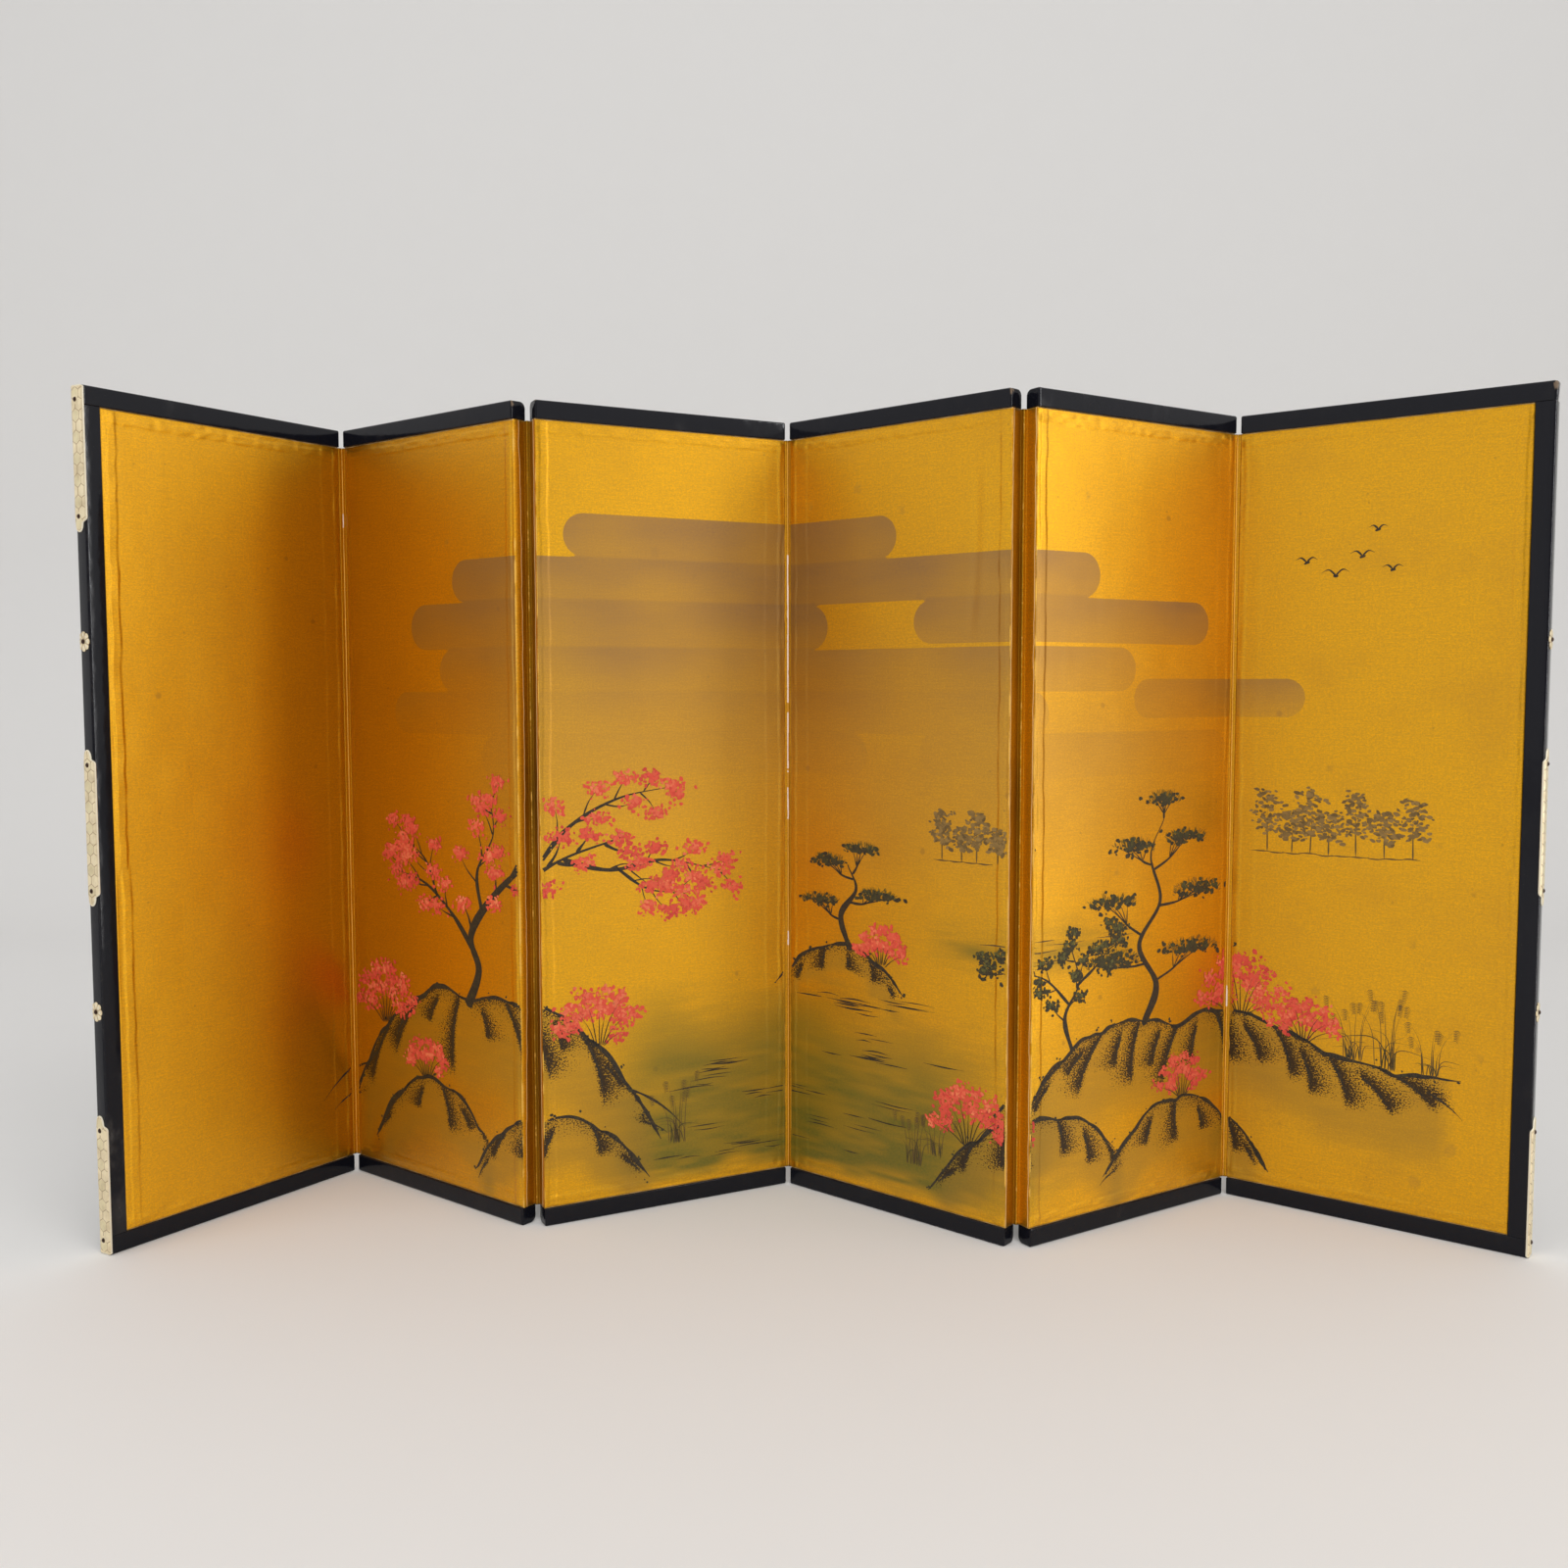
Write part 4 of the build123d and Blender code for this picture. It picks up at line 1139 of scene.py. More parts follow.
class Brush:
    """
    Collects the strokes and dabs of the painting as flat faces for each panel, in
    painting coordinates. They are laid on the cloth's relief when a panel is made.
    """

    FOLD_MARGIN = 0.75           # bare cloth beside a fold

    def __init__(self, seed):
        self.random = np.random.default_rng(seed)
        self.panels = {number: {"rows": [], "faces": [], "count": 0} for number in PANELS}

    def lay(self, s, up, faces, pigment, dryness, uv, lift):
        """
        Give one shape to the panels that it lies on, cut at the folds by whole faces. A
        row holds u, the height, the pigment, the dryness, the uv and the lift of a point.
        """
        width, one = PANELS[1].width, np.ones((len(s), 1))
        for number, store in self.panels.items():
            u = s - (number - 1) * width
            kept = faces[(u[faces].min(1) > self.FOLD_MARGIN)
                         & (u[faces].max(1) < width - self.FOLD_MARGIN)]
            if len(kept):
                used, index = np.unique(kept, return_inverse=True)
                rows = np.column_stack([u, up, one * pigment, one[:, 0] * dryness, uv, one * lift])
                store["faces"] += (index.reshape(kept.shape) + store["count"]).tolist()
                store["rows"].append(rows[used])
                store["count"] += len(used)

    def stroke(self, points, width, pigment, dry_end=0.3, taper=(0.18, 0.35), lift=0.07, step=1.3,
               swell=0.16):
        """
        Ribbon along a curve. Its width rises and falls by the two tapers and swells
        at random; the end of the stroke is dry.
        """
        line = smooth_line(points, step)
        run = np.gradient(line, axis=0)
        run = run / np.maximum(np.linalg.norm(run, axis=1, keepdims=True), 1e-9)
        normal = np.stack([-run[:, 1], run[:, 0]], axis=-1)
        t = np.linspace(0, 1, len(line))
        half = width / 2 * (0.22 + 0.78 * smoothstep(t, 0, taper[0]))
        half = half * (0.15 + 0.85 * smoothstep(1 - t, 0, taper[1]))
        half = half * (1 + swell * np.interp(t, np.linspace(0, 1, 9), self.random.uniform(-1, 1, 9)))
        across = half[:, None] * np.array([1.0, 0.0, -1.0])
        flat = (line[:, None] + normal[:, None] * across[..., None]).reshape(-1, 2)
        length = t * np.linalg.norm(np.diff(line, axis=0), axis=1).sum()
        uv = np.stack(np.broadcast_arrays(length[:, None] + self.random.uniform(0, 300), across),
                      axis=-1) / UV_SPAN
        dryness = np.repeat(dry_end * smoothstep(t, 0.45, 1.0), 3)
        self.lay(flat[:, 0], flat[:, 1], grid_faces(len(line), 3), pigment, dryness,
                 uv.reshape(-1, 2), lift)

    def dab(self, place, size, stretch, turn, pigment, lift, ragged=0.25):
        """Touch of the brush: an uneven oval fan of eight points about a centre."""
        count = 8
        angle = np.arange(count) * 2 * math.pi / count
        radius = size * (1 + ragged * self.random.uniform(-1, 1, count))
        x, y = radius * stretch * np.cos(angle), radius * np.sin(angle)
        s = place[0] + np.concatenate([[0], x * math.cos(turn) - y * math.sin(turn)])
        up = place[1] + np.concatenate([[0], x * math.sin(turn) + y * math.cos(turn)])
        faces = np.array([[0, 1 + i, 1 + (i + 1) % count] for i in range(count)])
        self.lay(s, up, faces, pigment, 0.0, np.stack([s, up], axis=-1) / UV_SPAN, lift)

    def cloud_of_dabs(self, centre, spread, count, size, light, dark, stretch=1.5, lift=0.11,
                      turn=None):
        """Foliage or blossom: dabs thrown about a centre, denser in the middle."""
        for _ in range(count):
            place = np.asarray(centre) + self.random.normal(0, 0.45, 2) * spread
            tone = self.random.beta(1.3, 1.3)
            angle = self.random.uniform(0, math.pi) if turn is None else turn + self.random.normal(0, 0.4)
            self.dab(place, size * self.random.uniform(0.45, 1.15), stretch, angle,
                     between(light, dark, tone), lift + self.random.uniform(0, 0.08))


def paint_boughs(brush, boughs, twigs, twig_length, pigment):
    """
    Bare tree from its boughs, each a curve with the width at its start. Twigs leave
    both sides of a bough, thinner towards its end; returns the tips of them all.
    """
    random = brush.random
    tips = []
    for points, width in boughs:
        line = smooth_line(points, 2.0)
        brush.stroke(points, width, pigment, 0.35, (0.0, 0.95), 0.08, swell=0.30)
        run = np.gradient(line, axis=0)
        for k in range(twigs):
            share = 0.25 + 0.75 * (k + random.uniform(0.1, 0.9)) / twigs
            at = min(int(share * len(line)), len(line) - 1)
            heading = math.atan2(run[at, 1], run[at, 0]) + (-1) ** k * random.uniform(0.35, 1.0)
            half = 0.5 * twig_length * random.uniform(0.55, 1.15) * (1.15 - 0.4 * share)
            bend = heading + random.uniform(-0.4, 0.4)
            middle = line[at] + half * np.array([math.cos(heading), math.sin(heading)])
            tip = middle + half * np.array([math.cos(bend), math.sin(bend)])
            brush.stroke([line[at], middle, tip], width * 0.26 + 0.25, pigment, 0.3, (0.0, 0.9), 0.09)
            tips.append(tip)
        tips.append(line[-1])
    return tips


def paint_blossom(brush, tips, spread, count, size):
    """Blossom: a loose cloud of small dabs round every tip, light ones over dark ones."""
    paint, (wide, tall) = settings("painting"), spread
    for x, y in tips:
        warmth = 0.95 * brush.random.uniform(0, 1)
        brush.cloud_of_dabs((x, y), spread, count, size, between(paint.coral, paint.crimson, warmth),
                            paint.coral, 1.4, 0.10)
        brush.cloud_of_dabs((x - wide * 0.10, y + tall * 0.18), (wide * 0.8, tall * 0.7), count // 2,
                            size * 0.9, between(paint.blush, paint.rose, warmth), paint.coral, 1.4, 0.16)


def paint_leaves(brush, tips, spread, count, size):
    """Dark foliage: round dabs of ink and pine green, with a few light ones on top."""
    paint, (wide, tall) = settings("painting"), spread
    for x, y in tips:
        brush.cloud_of_dabs((x, y), spread, count, size, paint.ink, paint.pine, 1.3, 0.10)
        brush.cloud_of_dabs((x - wide * 0.15, y + tall * 0.25), (wide * 0.8, tall * 0.6), count // 3,
                            size * 0.8, paint.pine, paint.moss, 1.3, 0.16)


def paint_shrub(brush, root, spread, height, count):
    """Low shrub: thin bowed stems under, and over, blossom that fills its whole round."""
    random = brush.random
    tips, stems = [], []
    for k in range(17):
        angle = -1.25 + 2.5 * (k + random.uniform(-0.3, 0.3)) / 16
        reach = random.uniform(0.50, 1.0) if k % 3 else 1.0
        foot = (root[0] + 3.0 * math.sin(angle), root[1] + random.uniform(-0.8, 0.8))
        tip = (root[0] + spread * reach * math.sin(angle), root[1] + height * reach * math.cos(angle) + 1.5)
        stems.append([foot, (foot[0] * 0.6 + tip[0] * 0.4, foot[1] * 0.45 + tip[1] * 0.55), tip])
        tips.append(tip)
    paint_blossom(brush, tips, (spread * 0.27, height * 0.20), count, 0.95)
    for k, stem in enumerate(stems[::2]):
        brush.stroke(stem, 0.55, settings("painting").ink, 0.5, (0.0, 0.9), 0.20 + 0.01 * (k % 3))


def paint_far_grove(brush, left, count, ground, tall, pitch):
    """Far trees: pale trunks on one ground line under soft rounded crowns of thin ink."""
    paint, random = settings("painting"), brush.random
    pale = between(paint.sepia, paint.pale, 0.45)
    for k in range(count):
        x = left + pitch * (k + random.uniform(-0.25, 0.25))
        height = tall * (0.65 + 0.35 * math.sin(1.3 + 1.7 * k) ** 2)
        brush.stroke([(x, ground), (x + random.uniform(-1, 1), ground + height * 0.8)], 0.8, paint.sepia,
                     0.5, (0.1, 0.8), 0.07)
        for level in np.linspace(0.40, 1.0, 6):
            wide = pitch * 0.80 * math.sin(math.pi * (0.30 + 0.62 * (level - 0.3)))
            brush.cloud_of_dabs((x, ground + height * level), (wide, height * 0.10), 16, 0.95, pale,
                                paint.sepia, 1.7, 0.08, turn=0.0)
    for k in range(int(count * pitch / 9)):
        x = left - 8 + k * 9
        brush.stroke([(x, ground), (x + 6, ground + random.uniform(-0.7, 0.7)), (x + 13, ground)], 0.8,
                     paint.sepia, 0.8, (0.4, 0.6), 0.06)


def paint_pine(brush, trunk, pads):
    """Pine: a bent trunk, a bough to each pad, and level pads of needles over dark dabs."""
    paint, random = settings("painting"), brush.random
    brush.stroke(trunk, 4.4, paint.ink, 0.55, (0.0, 0.8), 0.07, swell=0.35)
    brush.stroke([(x + 0.9, y) for x, y in trunk], 1.3, paint.shade, 0.9, (0.1, 0.8), 0.09)
    line = smooth_line(trunk, 3.0)
    for (x, y), wide, tall in pads:
        near = line[np.argmin(np.hypot(line[:, 0] - x, (line[:, 1] - y + 13) * 1.6))]
        middle = ((near[0] + x) / 2, (near[1] + y) / 2 - 3.0)
        brush.stroke([near, middle, (x, y - tall * 0.3)], 1.5, paint.ink, 0.2, (0.0, 0.8), 0.08)
        for k in range(4):
            off = (k - 1.5) / 1.5 * wide * 0.7
            brush.stroke([middle, ((middle[0] + x + off) / 2, y - tall * 0.5), (x + off, y)], 0.7,
                         paint.ink, 0.2, (0.0, 0.8), 0.09)
        brush.cloud_of_dabs((x, y - 0.1 * tall), (wide, tall * 0.55), int(wide * 4.5), 1.15, paint.pine,
                            paint.ink, 1.5, 0.10, turn=0.0)
        for _ in range(int(wide * 6)):
            across = random.uniform(-1, 1)
            rise = 0.42 * (1 - across ** 2) - 0.25 + random.uniform(-0.3, 0.3)
            foot = (x + across * wide * 0.95, y + tall * rise)
            lean = across * 0.9 + random.normal(0, 0.25)
            tip = (foot[0] + 2.6 * math.sin(lean), foot[1] + 2.6 * math.cos(lean))
            tone = between(paint.moss, paint.pine, random.uniform(0, 1))
            brush.stroke([foot, tip], 0.42, tone, 0.0, (0.2, 0.8), 0.16)


def paint_reeds(brush, root, count, height, spread):
    """Tuft of plume grass: bowed thin stems, long leaves, and plumes of fine hairs."""
    paint, random = settings("painting"), brush.random
    for k in range(count * 2):
        lean = random.normal(0, 0.75)
        leaf = height * random.uniform(0.25, 0.55)
        foot = (root[0] + random.uniform(-1, 1) * spread * 0.35, root[1] + random.uniform(-1, 1))
        tip = (foot[0] + lean * leaf * 0.8, foot[1] + leaf * (1 - 0.25 * abs(lean)))
        bend = (foot[0] + lean * leaf * 0.2, foot[1] + leaf * 0.7)
        brush.stroke([foot, bend, tip], 0.55, between(paint.pine, paint.sepia, k % 3 / 2), 0.3,
                     (0.1, 0.8), 0.08)
    for k in range(count):
        lean = (k / max(count - 1, 1) - 0.5) * 2 + random.normal(0, 0.15)
        tall = height * random.uniform(0.65, 1.0)
        foot = (root[0] + lean * spread * 0.3, root[1])
        tip = (foot[0] + spread * 0.5 * lean, foot[1] + tall)
        brush.stroke([foot, (foot[0] + spread * 0.1 * lean, foot[1] + tall * 0.6), tip], 0.42,
                     paint.sepia, 0.3, (0.1, 0.9), 0.08)
        way = 1 if lean > 0 else -1
        for hair in range(7):
            x, y, reach = tip[0], tip[1] - hair * 0.9, way * (3.6 - 0.25 * hair)
            brush.stroke([(x, y), (x + reach * 0.6, y + 0.4), (x + reach, y - 1.1)], 0.42, paint.sepia,
                         0.6, (0.2, 0.8), 0.10, step=1.0)


def visible_runs(number, line):
    """Stretches of a hill's line that no hill in front of it hides."""
    shown = np.ones(len(line), bool)
    for other in range(number + 1, len(HILLS)):
        below = under_hill(other, line[:, 0], line[:, 1])
        shown &= ~((below > -0.5) & (below < HILLS[other][1]))
    breaks = np.flatnonzero(np.diff(shown.astype(int))) + 1
    return [run for run, seen in zip(np.split(line, breaks), np.split(shown, breaks))
            if seen[0] and len(run) > 4]


def paint_hill(brush, number):
    """Outline of a hill in a few overlapping strokes, with moss dots on it, and its folds."""
    paint, random = settings("painting"), brush.random
    for run in visible_runs(number, hill_crest(number)):
        points = run[::3]
        for start in range(0, len(points) - 2, 9):
            part = points[start:start + 12]
            if len(part) > 2:
                brush.stroke(part, random.uniform(1.6, 2.5), paint.ink, 0.35, (0.10, 0.30), 0.07,
                             swell=0.45)
        for point in run[::9]:
            for _ in range(random.integers(1, 5)):
                place = point + random.normal(0, 1.6, 2) + (0, 0.6)
                tone = between(paint.ink, paint.pine, random.uniform(0, 1))
                brush.dab(place, random.uniform(0.35, 0.85), 1.3, random.uniform(0, 3), tone, 0.10)
    for fold in hill_folds(number):
        for run in visible_runs(number, smooth_line(fold, 2.5)):
            brush.stroke(run[:-2], 1.3, paint.ink, 0.5, (0.10, 0.7), 0.06, swell=0.4)


def paint_ripples(brush, count, left, right, low, high, pigment):
    """Level ripples in twos and threes."""
    random = brush.random
    for _ in range(count):
        start, level = random.uniform(left, right), random.uniform(low, high)
        for k in range(random.integers(1, 4)):
            length = random.uniform(12, 34)
            x, y = start + random.uniform(-8, 8), level - 2.2 * k
            middle = (x + length / 2, y + random.uniform(-0.9, 0.9))
            brush.stroke([(x, y), middle, (x + length, y)], random.uniform(0.4, 1.0), pigment, 0.7,
                         (0.45, 0.6), 0.06)


# trees: the curve of each bough and its width at the start
CHERRY = (
    (((258, 108), (268, 130), (262, 150), (282, 174), (312, 194), (350, 206)), 6.4),
    (((265, 140), (246, 160), (222, 176), (196, 182)), 3.4),
    (((272, 162), (268, 186), (282, 208), (280, 228)), 3.0),
    (((296, 185), (318, 212), (348, 228), (382, 234)), 2.8),
    (((316, 195), (344, 188), (376, 192), (412, 184)), 2.6),
    (((346, 190), (366, 176), (390, 172)), 1.8), (((232, 170), (222, 190), (202, 202)), 1.8),
)
PLUM = ((((636, 92), (630, 112), (640, 130), (634, 150)), 3.2),
        (((634, 118), (616, 134), (596, 140)), 1.8), (((638, 128), (658, 142), (668, 158)), 1.8))
# pines: the trunk, then the place, half width and height of each pad
PINES = (
    (((690, 100), (700, 122), (686, 146), (702, 170), (694, 196), (704, 216)),
     (((666, 140), 20, 9), ((728, 142), 22, 9), ((664, 172), 18, 8), ((732, 176), 19, 8),
      ((680, 202), 17, 8), ((722, 206), 16, 7), ((704, 228), 14, 7))),
    (((500, 138), (493, 158), (504, 174), (498, 188)),
     (((478, 166), 14, 6), ((520, 172), 15, 6), ((484, 190), 12, 6), ((508, 198), 12, 5))),
)
# shrubs: root, spread, height, dabs for each tip
SHRUBS = (
    ((182, 88), 27, 32, 30), ((336, 88), 25, 30, 28), ((220, 60), 18, 20, 20), ((522, 132), 17, 19, 18),
    ((582, 40), 24, 28, 26), ((764, 98), 26, 31, 28), ((800, 88), 19, 21, 20), ((722, 55), 19, 21, 20),
)
# reeds: root, count, height
REEDS = (((846, 79), 8, 46), ((828, 81), 6, 36), ((868, 79), 5, 30),
         ((384, 26), 7, 40), ((546, 22), 7, 36), ((560, 30), 5, 28))
# birds: place and length of a wing
BIRDS = ((812, 352, 7.5), (826, 362, 6.5), (796, 360, 6.0), (842, 354, 5.5), (834, 376, 5.0))


def paint_details(brush):
    """Everything with a crisp edge, from the hills' outlines to the birds."""
    paint = settings("painting")
    for number in range(len(HILLS)):
        paint_hill(brush, number)
    paint_ripples(brush, 26, 372, 560, 12, 92, paint.ink)
    paint_ripples(brush, 9, 440, 530, 104, 114, paint.ink)
    paint_ripples(brush, 6, 575, 660, 142, 158, paint.sepia)
    paint_blossom(brush, paint_boughs(brush, CHERRY, 8, 19, paint.ink), (8.0, 5.2), 40, 0.95)
    paint_leaves(brush, paint_boughs(brush, PLUM, 6, 13, paint.ink), (6.0, 4.0), 34, 1.0)
    for trunk, pads in PINES:
        paint_pine(brush, trunk, pads)
    for shrub in SHRUBS:
        paint_shrub(brush, *shrub)
    for reeds in REEDS:
        paint_reeds(brush, *reeds, 14)
    paint_far_grove(brush, 776, 7, 196, 34, 13)
    paint_far_grove(brush, 566, 4, 196, 26, 11)
    for x, y, size in BIRDS:
        for way in (-size, size):
            brush.stroke([(x, y), (x + way * 0.5, y + size * 0.42), (x + way, y + size * 0.22)], 1.0,
                         paint.ink, 0.3, (0.1, 0.7), 0.07, step=0.8)
        brush.dab((x, y - 0.4), 0.8, 2.0, 0.3, paint.ink, 0.08)


def painting_piece(panel, store):
    """The strokes on one panel as one mesh, laid on the relief of its cloth."""
    rows = np.vstack(store["rows"])
    u, up = rows[:, :2].T
    inside = (up > 0.8) & (up < panel.height - 0.8)
    z = up + panel.bottom
    v = -cloth_relief(panel, u, np.clip(z, panel.bottom, panel.top)) - rows[:, 8]
    faces = [f for f in store["faces"] if inside[f].all()]
    piece = new_piece(f"painting_{panel.number}", panel.place(u, v, z), faces, "pigment",
                      {"pigment": rows[:, 2:5], "dryness": rows[:, 5]}, rows[:, 6:8])
    tidy_mesh(piece, closed=False, loose=True)
    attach(piece, f"panel_{panel.number}")


# ---- lacquered bars ----
ARC_STEPS = 7                # points of each corner of a bar's section
STILE_SUNK = 0.12            # how far a stile lies below the rails' ends
STILE_GAP = 0.06             # and how far it stops short of each rail
# one chip in each of these top rails: panel, the rail's end (0 left, 1 right), size
CHIPS = {2: (1, 0.9), 3: (0, 0.8), 4: (1, 1.1), 5: (0, 0.7), 6: (1, 1.3)}
CHIP_DEPTH = 0.044           # of the way to the bar's middle


def lacquer_radii(*keys):
    """Radii of the lacquered edges, in millimetres."""
    return [getattr(settings("lacquer"), key) / MM for key in keys]


def rounded_section(a0, a1, b0, b1, radii, inset):
    """
    Rounded rectangle as points, corner by corner from (a0, b0): each corner is an
    arc whose radius shrinks with the inset.
    """
    corners = ((a0, b0, math.pi), (a1, b0, 1.5 * math.pi), (a1, b1, 0.0), (a0, b1, 0.5 * math.pi))
    points = []
    for (a, b, start), radius in zip(corners, radii):
        real = max(radius - inset, 0.05)
        angle = start + np.linspace(0, math.pi / 2, ARC_STEPS)
        points.append(np.stack([a + (1 if a == a0 else -1) * (inset + real) + real * np.cos(angle),
                                b + (1 if b == b0 else -1) * (inset + real) + real * np.sin(angle)],
                               axis=-1))
    return np.vstack(points)


def bar_grid(length, a0, a1, b0, b1, radii, end):
    """
    Bar along its length: the rounded section at every station, drawn in by an arc
    over the last stretch of each end. Returns the stations, the section points and
    a mask of the edges.
    """
    angle = np.linspace(0, math.pi / 2, 6)
    s, t = end * (1 - np.cos(angle)), end * (1 - np.sin(angle))
    fine = end + 0.7 * np.arange(1, 8)
    middle = np.linspace(end + 6, length - end - 6, int(length / 7))
    station = np.concatenate([s, fine, middle, length - fine[::-1], length - s[::-1]])
    inset = np.concatenate([t, np.zeros(len(station) - 2 * len(t)), t[::-1]])
    section = np.stack([rounded_section(a0, a1, b0, b1, radii, t) for t in inset])
    curved = np.tile(np.sin(np.linspace(0, math.pi, ARC_STEPS)) * 0.6 + 0.4, 4)
    turned = smoothstep(inset / max(end, 1e-6), 0.0, 0.6)
    return station, section, np.maximum(curved * 0.75, (0.35 + 0.65 * curved) * turned[:, None])


def bar_piece(name, station, section, edge, to_points, key, values):
    """Closed mesh of a bar, its grid with a fan over each end, and one more attribute."""
    rows, columns = section.shape[:2]
    points = to_points(station[:, None] * np.ones((1, columns)), section[..., 0], section[..., 1])
    caps = [to_points(station[i], *section[i].mean(0)) for i in (0, -1)]
    faces = grid_faces(rows, columns, wrap_columns=True).tolist()
    for cap, row in ((rows * columns, 0), (rows * columns + 1, rows - 1)):
        faces += [[cap, row * columns + j, row * columns + (j + 1) % columns] for j in range(columns)]
    attributes = {"edge": np.concatenate([edge.ravel(), [0.4, 0.4]]),
                  key: np.concatenate([values.ravel(), [0.0, 0.0]])}
    return tidy_mesh(new_piece(name, np.vstack([points.reshape(-1, 3), *caps]), faces, "black_lacquer",
                               attributes))


def plan_cut(v, depth):
    """How far a rail's outer end is cut back at depth v by the plan radii of the stile."""
    front, back = lacquer_radii("stile_front", "stile_back")
    near, far = np.clip(front - v, 0, front), np.clip(back - (depth - v), 0, back)
    return np.maximum(front - np.sqrt(front ** 2 - near ** 2), back - np.sqrt(back ** 2 - far ** 2))


def lacquer_rail(panel, top):
    """Rail over or under the core, rounded most at its outer edges."""
    front, back, inner, end = lacquer_radii("front_radius", "back_radius", "inner_radius", "end_radius")
    length, depth, side = panel.rail_length, panel.rail_depth, panel.side
    z0, z1 = (panel.top, panel.rail_top) if top else (0.0, panel.bottom)
    radii = (inner, inner, back, front) if top else (front, back, inner, inner)
    station, section, edge = bar_grid(length, 0.0, depth, z0, z1, radii, end)
    seed = 700 + 10 * panel.number + top
    zone = 5.0

    def to_points(along, v, z):
        wave = 0.05 * soft_noise(along, 0, 31, seed)
        u = along
        if side:
            from_end = along if side < 0 else length - along
            u = along - side * plan_cut(np.clip(v, 0, depth), depth) * np.clip(1 - from_end / zone, 0, 1)
        return panel.place(panel.rail_left + u, panel.rail_front + v - wave * (v < depth / 2), z)

    chip = np.zeros_like(edge)
    if top and panel.number in CHIPS:
        right, size = CHIPS[panel.number]
        away = (length - station if right else station)[:, None]
        deep, high = section[..., 0], section[..., 1]
        near = np.hypot(np.hypot(away - 0.3, deep - 0.3), (z1 - high) * (0.55 if right else 0.8))
        shake = 0.45 * soft_noise(high * 3 + away, deep * 3, 1.3, seed)
        chip = fall(near + shake, size * 0.8, size * 1.15)
    section = section + (section.mean((0, 1)) - section) * (CHIP_DEPTH * chip)[..., None]
    level = "top" if top else "bottom"
    piece = bar_piece(f"{level}_lacquer_{panel.number}", station, section, edge, to_points, "chip", chip)
    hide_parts(f"{level}_rail_{panel.number}")
    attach(piece, f"panel_{panel.number}")


def lacquer_stile(panel):
    """Stile between the two rails at the screen's outer end, a hair below the rails' ends."""
    front, back, inner = lacquer_radii("stile_front", "stile_back", "inner_radius")
    depth, side = panel.rail_depth, panel.side
    station, section, edge = bar_grid(panel.height - 2 * STILE_GAP, STILE_SUNK, panel.stile,
                                      STILE_SUNK / 2, depth, (front, inner, inner, back), 0.22)
    seed = 760 + side

    def to_points(along, inward, v):
        wave = 0.06 * soft_noise(along, 0, 38, seed) + 0.03 * soft_noise(along, 0, 9, seed + 5)
        return panel.place(panel.from_stile(inward), panel.rail_front + v - wave * (v < depth / 2),
                           panel.bottom + STILE_GAP + along)

    haze = bump_at(station, 48, 38)[:, None] * (section[..., 1] < 2.0) * (side < 0)
    piece = bar_piece(f"{panel.hand}_stile_lacquer", station, section, edge, to_points, "haze", haze)
    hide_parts(f"{panel.hand}_stile")
    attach(piece, f"panel_{panel.number}")


# ---- gilt fittings ----
SEAT = 0.02                  # gap between the sheet metal and the lacquer


class StileSkin:
    """
    Outer skin of a stile. c is the arc length round the side face from its middle,
    positive towards the front; the skin is flat between its two rounded edges.
    """

    def __init__(self, panel):
        fittings = settings("fittings")
        self.panel, self.half = panel, panel.rail_depth / 2
        self.thick, wrap = fittings.thickness / MM, fittings.wrap / MM
        self.front, self.back = lacquer_radii("stile_front", "stile_back")
        self.flat_front, self.flat_back = self.half - self.front, self.half - self.back
        self.reach_front, self.reach_back = (
            self.half - radius + (radius + self.thick) * math.acos((radius - wrap) / (radius + self.thick))
            for radius in (self.front, self.back))

    def place(self, c, z, lift):
        """Points at arc length c and height z, lifted off the lacquer."""
        c, z, lift = np.broadcast_arrays(*(np.asarray(x, float) for x in (c, z, lift)))
        inward, v = -lift, self.half - c
        for way, radius, flat in ((1, self.front, self.flat_front), (-1, self.back, self.flat_back)):
            turn = np.maximum(way * c - flat, 0) / (radius + self.thick)
            deep = radius - (radius + lift) * np.sin(turn)
            inward = np.where(turn > 0, radius - (radius + lift) * np.cos(turn), inward)
            v = np.where(turn > 0, deep if way > 0 else self.panel.rail_depth - deep, v)
        return self.panel.place(self.panel.from_stile(inward), self.panel.rail_front + v, z)


def hexagon_edge(c, z, height):
    """
    Distance to the nearest side of a honeycomb of upright hexagons, and a mask of
    the cells in the middle column. A cell's distance is the least of those to its
    three pairs of sides; the two staggered lattices share out the plane.
    """
    width = height * math.sqrt(3) / 2
    best, owner = np.full(c.shape, -1e6), np.zeros(c.shape)
    for shift in (0.0, 0.5):
        x, y = c - shift * width, z - 1.5 * shift * height
        x = x - width * np.round(x / width)
        y = y - 1.5 * height * np.round(y / (1.5 * height))
        inside = width / 2 - np.maximum(np.abs(x), np.abs(x) / 2 + np.abs(y) * math.sqrt(3) / 2)
        nearer = inside > best
        best = np.where(nearer, inside, best)
        owner = np.where(nearer, (shift == 0) * (np.abs(c) < width / 2), owner)
    return best, owner


